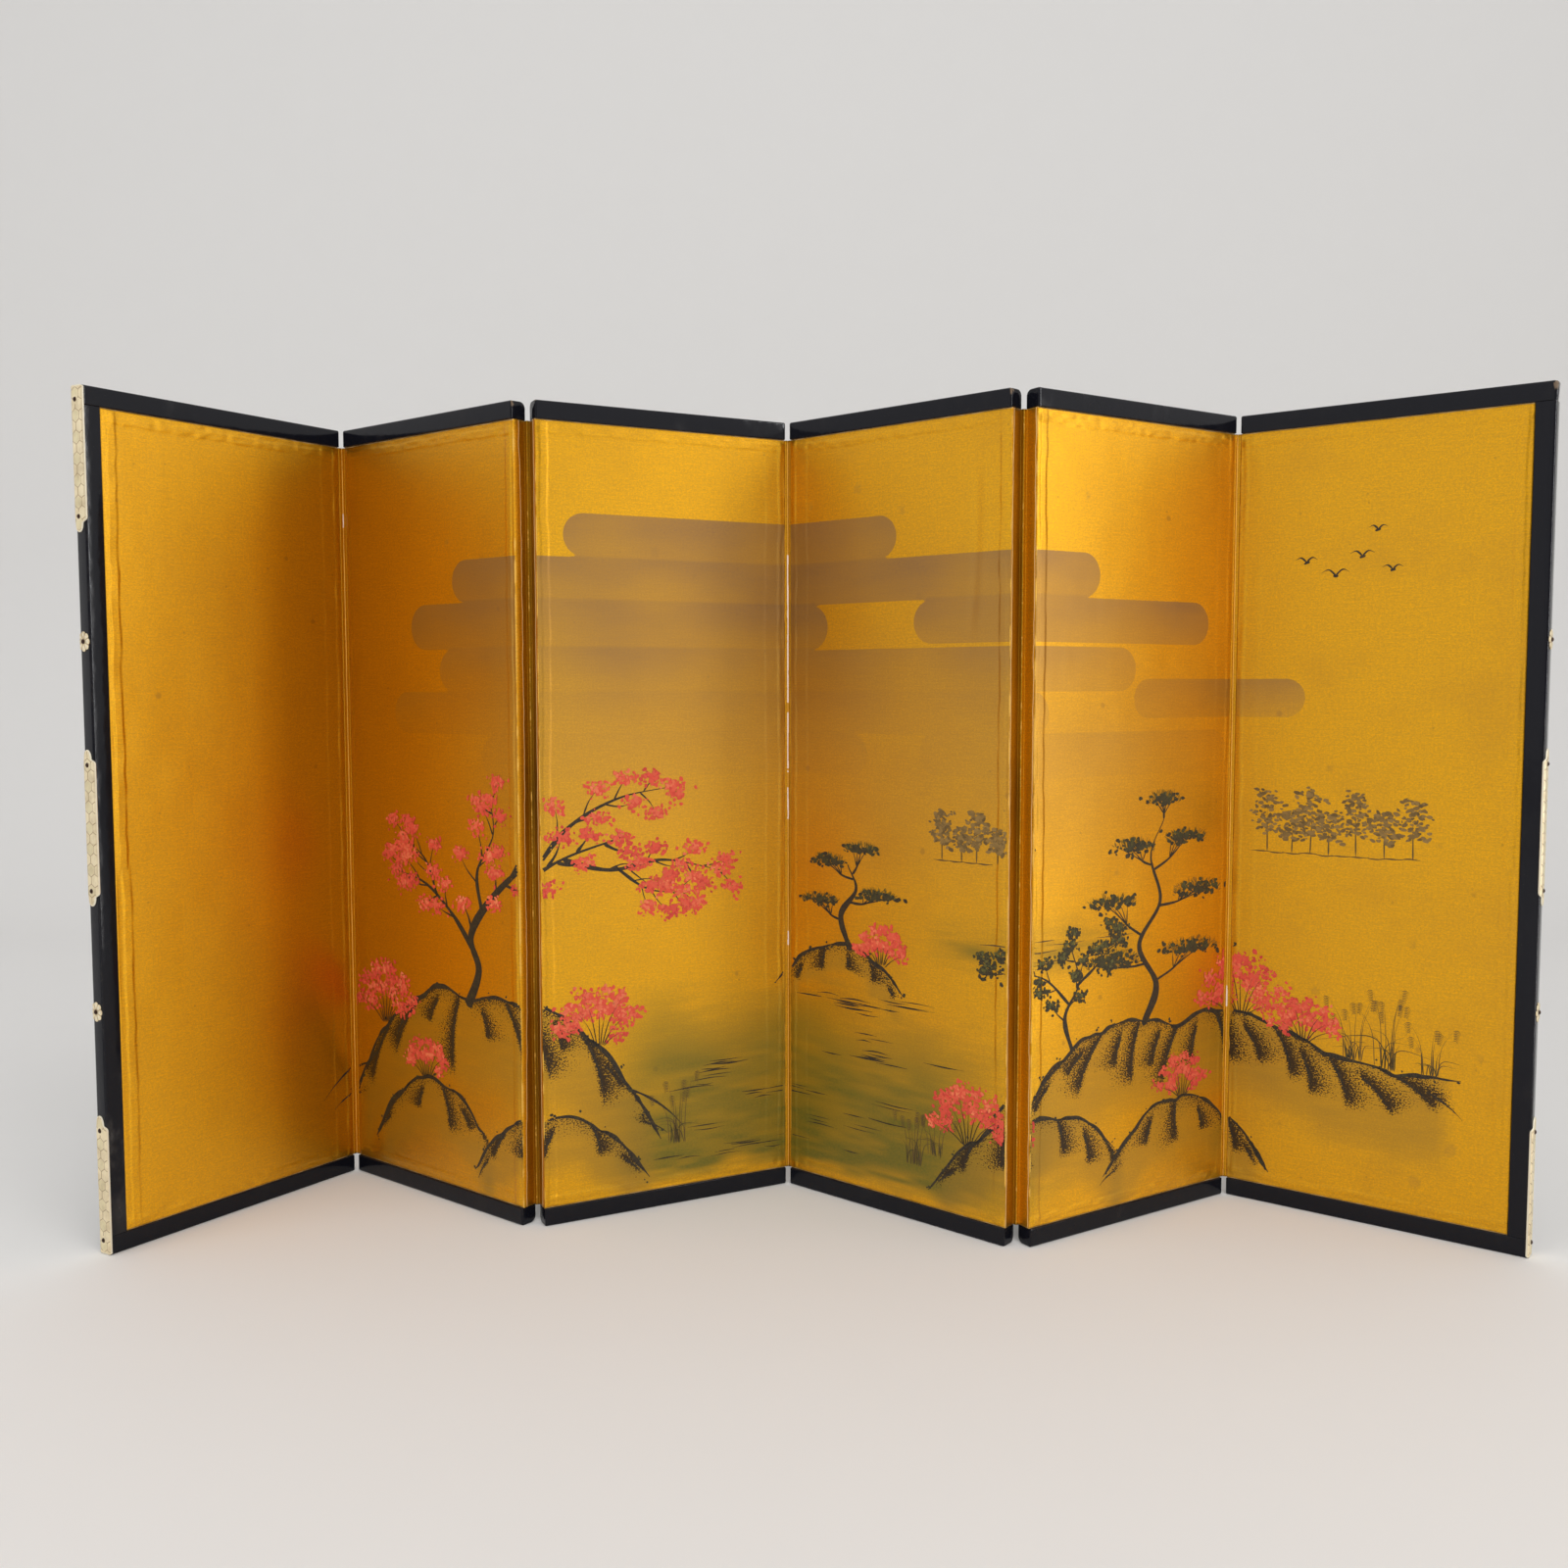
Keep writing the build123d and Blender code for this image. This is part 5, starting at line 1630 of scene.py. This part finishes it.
def plate_piece(name, node, panel, tongue_low, tongue_high, nails):
    """
    Embossed plate: a grid whose rows follow the height and whose columns share out the
    width of the outline, the cusps of the tongue and then its shoulder. Its rim turns
    down on to the lacquer, and the underside closes it.
    """
    fittings, skin = settings("fittings"), StileSkin(panel)
    heights = node_points(node)[:, 2]
    start, end = heights.min(), heights.max()
    z_line = np.concatenate([[start], np.linspace(start, end, int((end - start) / 0.36)), [end]])
    from_tip = np.minimum(z_line - start if tongue_low else 1e3, end - z_line if tongue_high else 1e3)
    tongue, shoulder = fittings.tongue / MM, fittings.shoulder / MM
    x = np.clip((from_tip + 0.05) / tongue, 0, 1)
    y = np.clip((from_tip + 0.05 - tongue) / shoulder, 0, 1)
    cusp = skin.half - 1.7
    ahead, behind = (cusp * np.sqrt(1 - (1 - x) ** 2) + (reach - cusp) * (1 - (1 - y) ** 3.6)
                     for reach in (skin.reach_front, skin.reach_back))
    share = np.concatenate([[-1.0], np.linspace(-1, 1, 40), [1.0]])
    c = share * np.where(share > 0, ahead[:, None], behind[:, None])
    z = np.broadcast_to(z_line[:, None], c.shape)
    if not (tongue_low and tongue_high):
        # the straight end: its corners are rounded where the plate turns round the stile
        free, way = (end, -1) if tongue_low else (start, 1)
        bend_front = np.maximum(c - skin.flat_front, 0) / (skin.reach_front - skin.flat_front)
        bend_back = np.maximum(-c - skin.flat_back, 0) / (skin.reach_back - skin.flat_back)
        round_off = 0.9 * bend_front ** 2 + 2.4 * bend_back ** 2
        z = z + way * round_off * np.clip(1 - np.abs(z - free) / 6.0, 0, 1)
    edge, middle = hexagon_edge(c, z - (start + end) / 2, fittings.cell_height / MM)
    groove = fall(edge, 0.10, 0.42)
    inner = (1 - np.abs(share)) * np.minimum(ahead, behind)[:, None]
    to_rim = np.minimum(inner, np.minimum(z - start, end - z))
    plain = smoothstep(to_rim, 0.5, 1.3)
    for nail in nails:
        plain = plain * smoothstep(np.hypot(c, z - nail), 1.6, 2.8)
    relief = plain * (0.10 * smoothstep(edge, 0.3, 2.4) - 0.17 * groove)
    lift = skin.thick * (0.80 + 0.20 * smoothstep(to_rim, 0.0, 0.5)) + relief
    inside = np.zeros(c.shape, bool)
    inside[1:-1, 1:-1] = True
    lift = np.where(inside, np.minimum(lift, skin.thick + 0.02), SEAT)
    quads = grid_faces(*c.shape)
    index = np.arange(c.size).reshape(c.shape)
    under = np.where(inside, index + c.size, index).ravel()
    values = {"groove": groove * plain, "cell": middle * smoothstep(edge, 0.35, 0.6) * plain * 0.8,
              "rim": fall(to_rim, 0.35, 1.0) * (0.55 + 0.45 * (c > 0))}
    piece = new_piece(name, np.stack([skin.place(c, z, lift), skin.place(c, z, SEAT)]),
                      np.vstack([quads, under[quads][:, ::-1]]), "pale_gilt",
                      {key: np.tile(value.ravel(), 2) for key, value in values.items()})
    tidy_mesh(piece, loose=True)
    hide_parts(node)
    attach(piece, f"panel_{panel.number}")


def flower_piece(panel, number, height):
    """
    Petalled washer: rings from the nail outwards to a rim that follows the petals'
    circles; each petal is domed, with a crease between two.
    """
    fittings, skin = settings("fittings"), StileSkin(panel)
    petal = 1.75
    reach = fittings.flower_radius / MM - petal
    count = fittings.petals * 16
    angle = np.arange(count) * 2 * math.pi / count
    pitch = 2 * math.pi / fittings.petals
    off = angle - pitch * np.round(angle / pitch)
    outline = reach * np.cos(off) + np.sqrt(np.maximum(petal ** 2 - (reach * np.sin(off)) ** 2, 0.02))
    share = np.array([0.10, 0.22, 0.34, 0.46, 0.58, 0.68, 0.78, 0.86, 0.93, 0.98, 1.0, 1.0])[:, None]
    crease = np.abs(off) / (pitch / 2)
    dome = np.sin(math.pi * np.clip((share - 0.3) / 0.72, 0, 1)) * (1 - crease ** 2)
    lift = skin.thick * (0.62 + 0.36 * dome)
    lift[-1] = SEAT
    lift[-2] *= 0.75
    c = np.clip(share * outline * np.cos(angle), -skin.reach_back, skin.reach_front)
    z = height + share * outline * np.sin(angle)
    base, inner = c.size, c[:-1].size
    points = [skin.place(c, z, lift).reshape(-1, 3), skin.place(c[:-1], z[:-1], SEAT).reshape(-1, 3),
              skin.place(0, height, lift[0].mean()), skin.place(0, height, SEAT)]
    lower = np.concatenate([np.arange(inner) + base, np.arange(inner, base)])
    quads = grid_faces(*c.shape, wrap_columns=True)
    faces = quads.tolist() + lower[quads][:, ::-1].tolist()
    for j in range(count):
        following = (j + 1) % count
        faces += [[base + inner, following, j], [base + inner + 1, base + j, base + following]]
    groove = np.maximum(smoothstep(crease, 0.62, 1.0) * (share > 0.3), bump_at(share, 0.30, 0.07))
    attributes = {key: np.concatenate([values.ravel(), np.zeros(inner + 2)])
                  for key, values in (("groove", groove), ("rim", dome ** 2 * 0.8))}
    piece = tidy_mesh(new_piece(f"{panel.hand}_flower_{number}", np.vstack(points), faces, "pale_gilt",
                                attributes))
    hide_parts(f"{panel.hand}_flowers")
    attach(piece, f"panel_{panel.number}")


def island_heights(node):
    """Middle heights of the separate solids in a node, from gaps in their heights."""
    z = np.unique(np.round(node_points(node)[:, 2], 2))
    breaks = np.where(np.diff(z) > 3.0)[0]
    starts, ends = np.concatenate([[0], breaks + 1]), np.concatenate([breaks, [len(z) - 1]])
    return [(z[a] + z[b]) / 2 for a, b in zip(starts, ends)]


# ---- back paper and hidden pieces ----
PAPER_GRID = (12, 1.5, 4.0)      # border zone, and the grid's spacing within and beyond it


def back_sheet(panel):
    """Back paper: a closed sheet, slightly wavy, with the pasted border strips showing through."""
    u, z = np.meshgrid(graded(panel.width, *PAPER_GRID), panel.bottom + graded(panel.height, *PAPER_GRID))
    seed = 900 + panel.number
    border = np.minimum.reduce(panel.borders(u, z))
    wave = 0.07 * soft_noise(u, z, 40, seed) + 0.03 * soft_noise(u, z, 14, seed + 1)
    wave = wave - 0.5 * settings("cloth").hem_height / MM * smoothstep(border, 8.5, 9.5)
    v = panel.depth + wave * smoothstep(border, 0, 2) - 0.06
    points = np.stack([panel.place(u, panel.depth - 0.28, z), panel.place(u, v, z)])
    quads = grid_faces(*u.shape)
    index = np.arange(u.size).reshape(u.shape)
    rim = np.concatenate([index[0], index[1:, -1], index[-1, -2::-1], index[-2:0:-1, 0]])
    following = np.roll(rim, -1)
    wall = np.stack([rim, following, following + u.size, rim + u.size], axis=-1)
    uv = np.tile(np.stack(panel.painting(u, z), axis=-1).reshape(-1, 2), (2, 1)) / UV_SPAN
    faces = np.vstack([quads, quads[:, ::-1] + u.size, wall])
    piece = tidy_mesh(new_piece(f"back_sheet_{panel.number}", points, faces, "back_paper", uv=uv))
    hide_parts(f"back_paper_{panel.number}")
    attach(piece, f"panel_{panel.number}")
    panel.width * MM
    panel.height * MM


def give_material(part, name):
    """Put one material on every packed node whose name starts or ends with the part."""
    for node, piece in frame["nodes"].items():
        if node.startswith(part) or node.endswith(part):
            piece.data.materials.clear()
            piece.data.materials.append(bpy.data.materials[f"screen_{name}"])


# ---- stage ----
def stage_sweep():
    """Floor that bends up into a backdrop: straight, a quarter turn, straight."""
    far, radius, high, near, half = 900.0, 500.0, 3200.0, -3400.0, 5600.0
    turn = np.linspace(0, math.pi / 2, 24)
    y = np.concatenate([[near, 0.0], far + radius * np.sin(turn), [far + radius]])
    z = np.concatenate([[0.0, 0.0], radius * (1 - np.cos(turn)), [high]])
    x = np.linspace(-half, half, 5)
    w, shader = new_material("stage_paper", Roughness=0.85, Specular_IOR_Level=0.2)
    shadow = (0.62, 0.61, 0.60)
    w.feed(shader, Base_Color=w.layers(settings("stage").floor,
                                       (w.noise(w.object_mm(), 0.02, 3.0) * 0.05, shadow)))
    points = np.stack(np.broadcast_arrays(x, y[:, None], z[:, None]), axis=-1)
    new_piece("stage_sweep", points, grid_faces(len(y), len(x)), "stage_paper")


def area_light(name, place, aim, size, power, colour, mirrored=False):
    """
    Rectangular lamp at a place, in metres, turned to a height on the z axis. A mirrored lamp
    shows in glossy surfaces only, as a reflector card does, and another lamp never there.
    """
    lamp = bpy.data.lights.new(name, "AREA")
    lamp.shape, lamp.size, lamp.size_y = "RECTANGLE", *size
    lamp.energy, lamp.color = power, colour
    item = bpy.data.objects.new(name, lamp)
    x, y, z = item.location = place
    item.visible_glossy, item.visible_diffuse, item.visible_camera = mirrored, not mirrored, False
    item.rotation_euler = Euler((math.atan2(math.hypot(x, y), z - aim), 0,
                                 math.atan2(-y, -x) - math.pi / 2))
    bpy.context.scene.collection.objects.link(item)
    return item


def soft_room():
    """
    World: even light on matt surfaces. What glossy ones mirror is dimmer behind the camera
    and on the left, and the camera sees a plain tone past the sweep.
    """
    stage = settings("stage")
    world = bpy.data.worlds.new("soft_room")
    world.use_nodes = True
    w = Wiring(world.node_tree)
    light = w.wires(w.node("ShaderNodeLightPath"))
    glossy = light["Is Glossy Ray"]
    seen = w.most(light["Is Camera Ray"], glossy, light["Is Transmission Ray"])
    way = w.wire("ShaderNodeTexCoord", None, "Generated")
    way = w.wires(w.node("ShaderNodeSeparateXYZ", {0: way}))
    room = w.step(way["Y"], -0.97, -0.70, stage.dim_front, 1.0)
    room = room * w.step(way["X"], -1.0, 0.6, stage.dim_left, 1.0)
    strength = glossy * room + (1.0 - seen) * stage.soft_light + (seen - glossy) * stage.backdrop
    w.feed(world.node_tree.nodes["Background"], Color=(1.0, 0.99, 0.975), Strength=strength)
    return world


# ---- operators ----
class SCREEN_OT_materials(Operator):
    """Make the node groups and the materials"""

    bl_idname = "screen.materials"
    bl_label = "Materials"

    def execute(self, context):
        for build in (build_weave_group, build_foxing_group, build_rubbing_group, gold_cloth_material,
                      lacquer_material, sheet_metal_material, nail_material, back_paper_material,
                      liner_material, pigment_material):
            build()
        wood_material("lattice_wood", (0.66, 0.47, 0.27), (0.45, 0.29, 0.15), (0.22, 0.22, 0.02))
        wood_material("bamboo", (0.68, 0.55, 0.30), (0.48, 0.36, 0.17), (0.9, 0.9, 0.05))
        return {"FINISHED"}


class SCREEN_OT_core(Operator):
    """Give the lattice, the liners and the pegs their wood and paper"""

    bl_idname = "screen.core"
    bl_label = "Hidden core"

    def execute(self, context):
        give_material("lattice_", "lattice_wood")
        give_material("liner_", "liner_paper")
        give_material("frame_pegs_", "bamboo")
        return {"FINISHED"}


class SCREEN_OT_gold_faces(Operator):
    """Make the gold face cloth of every panel, with its washes"""

    bl_idname = "screen.gold_faces"
    bl_label = "Gold faces"

    def execute(self, context):
        for panel in PANELS.values():
            gold_face(panel)
        return {"FINISHED"}


class SCREEN_OT_hinge_strips(Operator):
    """Make the cloth hinge of every fold"""

    bl_idname = "screen.hinge_strips"
    bl_label = "Hinge strips"

    def execute(self, context):
        for fold in range(1, PANEL_COUNT):
            hinge_strip(fold)
        return {"FINISHED"}


class SCREEN_OT_painting(Operator):
    """Lay the strokes and dabs of the painting on the cloth"""

    bl_idname = "screen.painting"
    bl_label = "Painting"

    def execute(self, context):
        if settings("painting").show:
            brush = Brush(seed=5)
            paint_details(brush)
            for number, store in brush.panels.items():
                if store["count"]:
                    painting_piece(PANELS[number], store)
        return {"FINISHED"}


class SCREEN_OT_lacquer(Operator):
    """Make the lacquered rails and stiles"""

    bl_idname = "screen.lacquer"
    bl_label = "Lacquer"

    def execute(self, context):
        for panel in PANELS.values():
            lacquer_rail(panel, True)
            lacquer_rail(panel, False)
            if panel.side:
                lacquer_stile(panel)
        return {"FINISHED"}


class SCREEN_OT_fittings(Operator):
    """Make the embossed plates and the petalled washers of both stiles, and give the nails their patina"""

    bl_idname = "screen.fittings"
    bl_label = "Fittings"

    def execute(self, context):
        for panel in (PANELS[1], PANELS[PANEL_COUNT]):
            nails = island_heights(f"{panel.hand}_nails")
            for place in ("top", "middle", "bottom"):
                node = f"{panel.hand}_{place}_plate"
                if node in frame["nodes"]:
                    plate_piece(f"{panel.hand}_{place}_gilt", node, panel, place != "bottom",
                                place != "top", nails)
            for number, height in enumerate(island_heights(f"{panel.hand}_flowers"), start=1):
                flower_piece(panel, number, height)
        give_material("_nails", "dark_nail")
        return {"FINISHED"}


class SCREEN_OT_backs(Operator):
    """Make the printed paper on the back of every panel"""

    bl_idname = "screen.backs"
    bl_label = "Backs"

    def execute(self, context):
        for panel in PANELS.values():
            back_sheet(panel)
        return {"FINISHED"}


class SCREEN_OT_stage(Operator):
    """Make the floor, the lights, the world and the camera"""

    bl_idname = "screen.stage"
    bl_label = "Stage"

    def execute(self, context):
        stage, scene = settings("stage"), context.scene
        stage_sweep()
        area_light("key_light", (0.55, -1.5, 1.9), 0.2, (1.8, 1.2), stage.key_power * 3.0,
                   (1.0, 0.985, 0.96))
        area_light("fill_light", (-1.6, -1.2, 1.2), 0.2, (1.2, 1.2), stage.key_power, (0.97, 0.985, 1.0))
        area_light("window", (0.62, -0.275, 0.39), 0.26, (0.12, 0.95), stage.window_power,
                   (1.0, 0.99, 0.97), True)
        edge_lamp = area_light("edge_lamp", (0.62, -0.30, 0.45), 0.30, (0.05, 0.95), stage.edge_power,
                               (0.96, 0.98, 1.0), True)
        lacquered = bpy.data.collections.new("lacquered")
        for item in bpy.data.objects:
            if "_lacquer" in item.name:
                lacquered.objects.link(item)
        edge_lamp.light_linking.receiver_collection = lacquered
        scene.world = soft_room()
        scene.view_settings.view_transform = "Standard"

        data = bpy.data.cameras.new("front_view")
        data.lens, data.sensor_width = stage.lens, 36.0
        camera = bpy.data.objects.new("front_view", data)
        camera.location = (-0.0154, -0.8088, 0.3008)
        camera.rotation_euler = Euler((math.radians(90 - 3.89), math.radians(0.07), 0.0))
        scene.collection.objects.link(camera)
        scene.camera = camera
        return {"FINISHED"}


STEPS = (
    SCREEN_OT_materials, SCREEN_OT_core, SCREEN_OT_gold_faces, SCREEN_OT_hinge_strips,
    SCREEN_OT_painting, SCREEN_OT_lacquer, SCREEN_OT_fittings, SCREEN_OT_backs, SCREEN_OT_stage,
)


class SCREEN_PT_panel(Panel):
    """Sizes, colours and steps of the folding screen"""

    bl_idname = "SCREEN_PT_panel"
    bl_label = "Folding screen"
    bl_space_type = "VIEW_3D"
    bl_region_type = "UI"
    bl_category = "Screen"

    def draw(self, context):
        for name, group in GROUPS.items():
            box = self.layout.box()
            box.label(text=group.__doc__)
            for key in group.__annotations__:
                box.prop(getattr(context.scene, name), key)
        for step in STEPS:
            self.layout.operator(step.bl_idname, text=step.bl_label)


CLASSES = (*GROUPS.values(), *STEPS, SCREEN_PT_panel)


def register():
    for item in CLASSES:
        bpy.utils.register_class(item)
    for name, group in GROUPS.items():
        setattr(bpy.types.Scene, name, PointerProperty(type=group))


def unregister():
    for name in GROUPS:
        delattr(bpy.types.Scene, name)
    for item in reversed(CLASSES):
        bpy.utils.unregister_class(item)


def main():
    register()
    for step in STEPS:
        getattr(bpy.ops.screen, step.bl_idname.split(".")[1])()


if __name__ == "__main__":
    main()
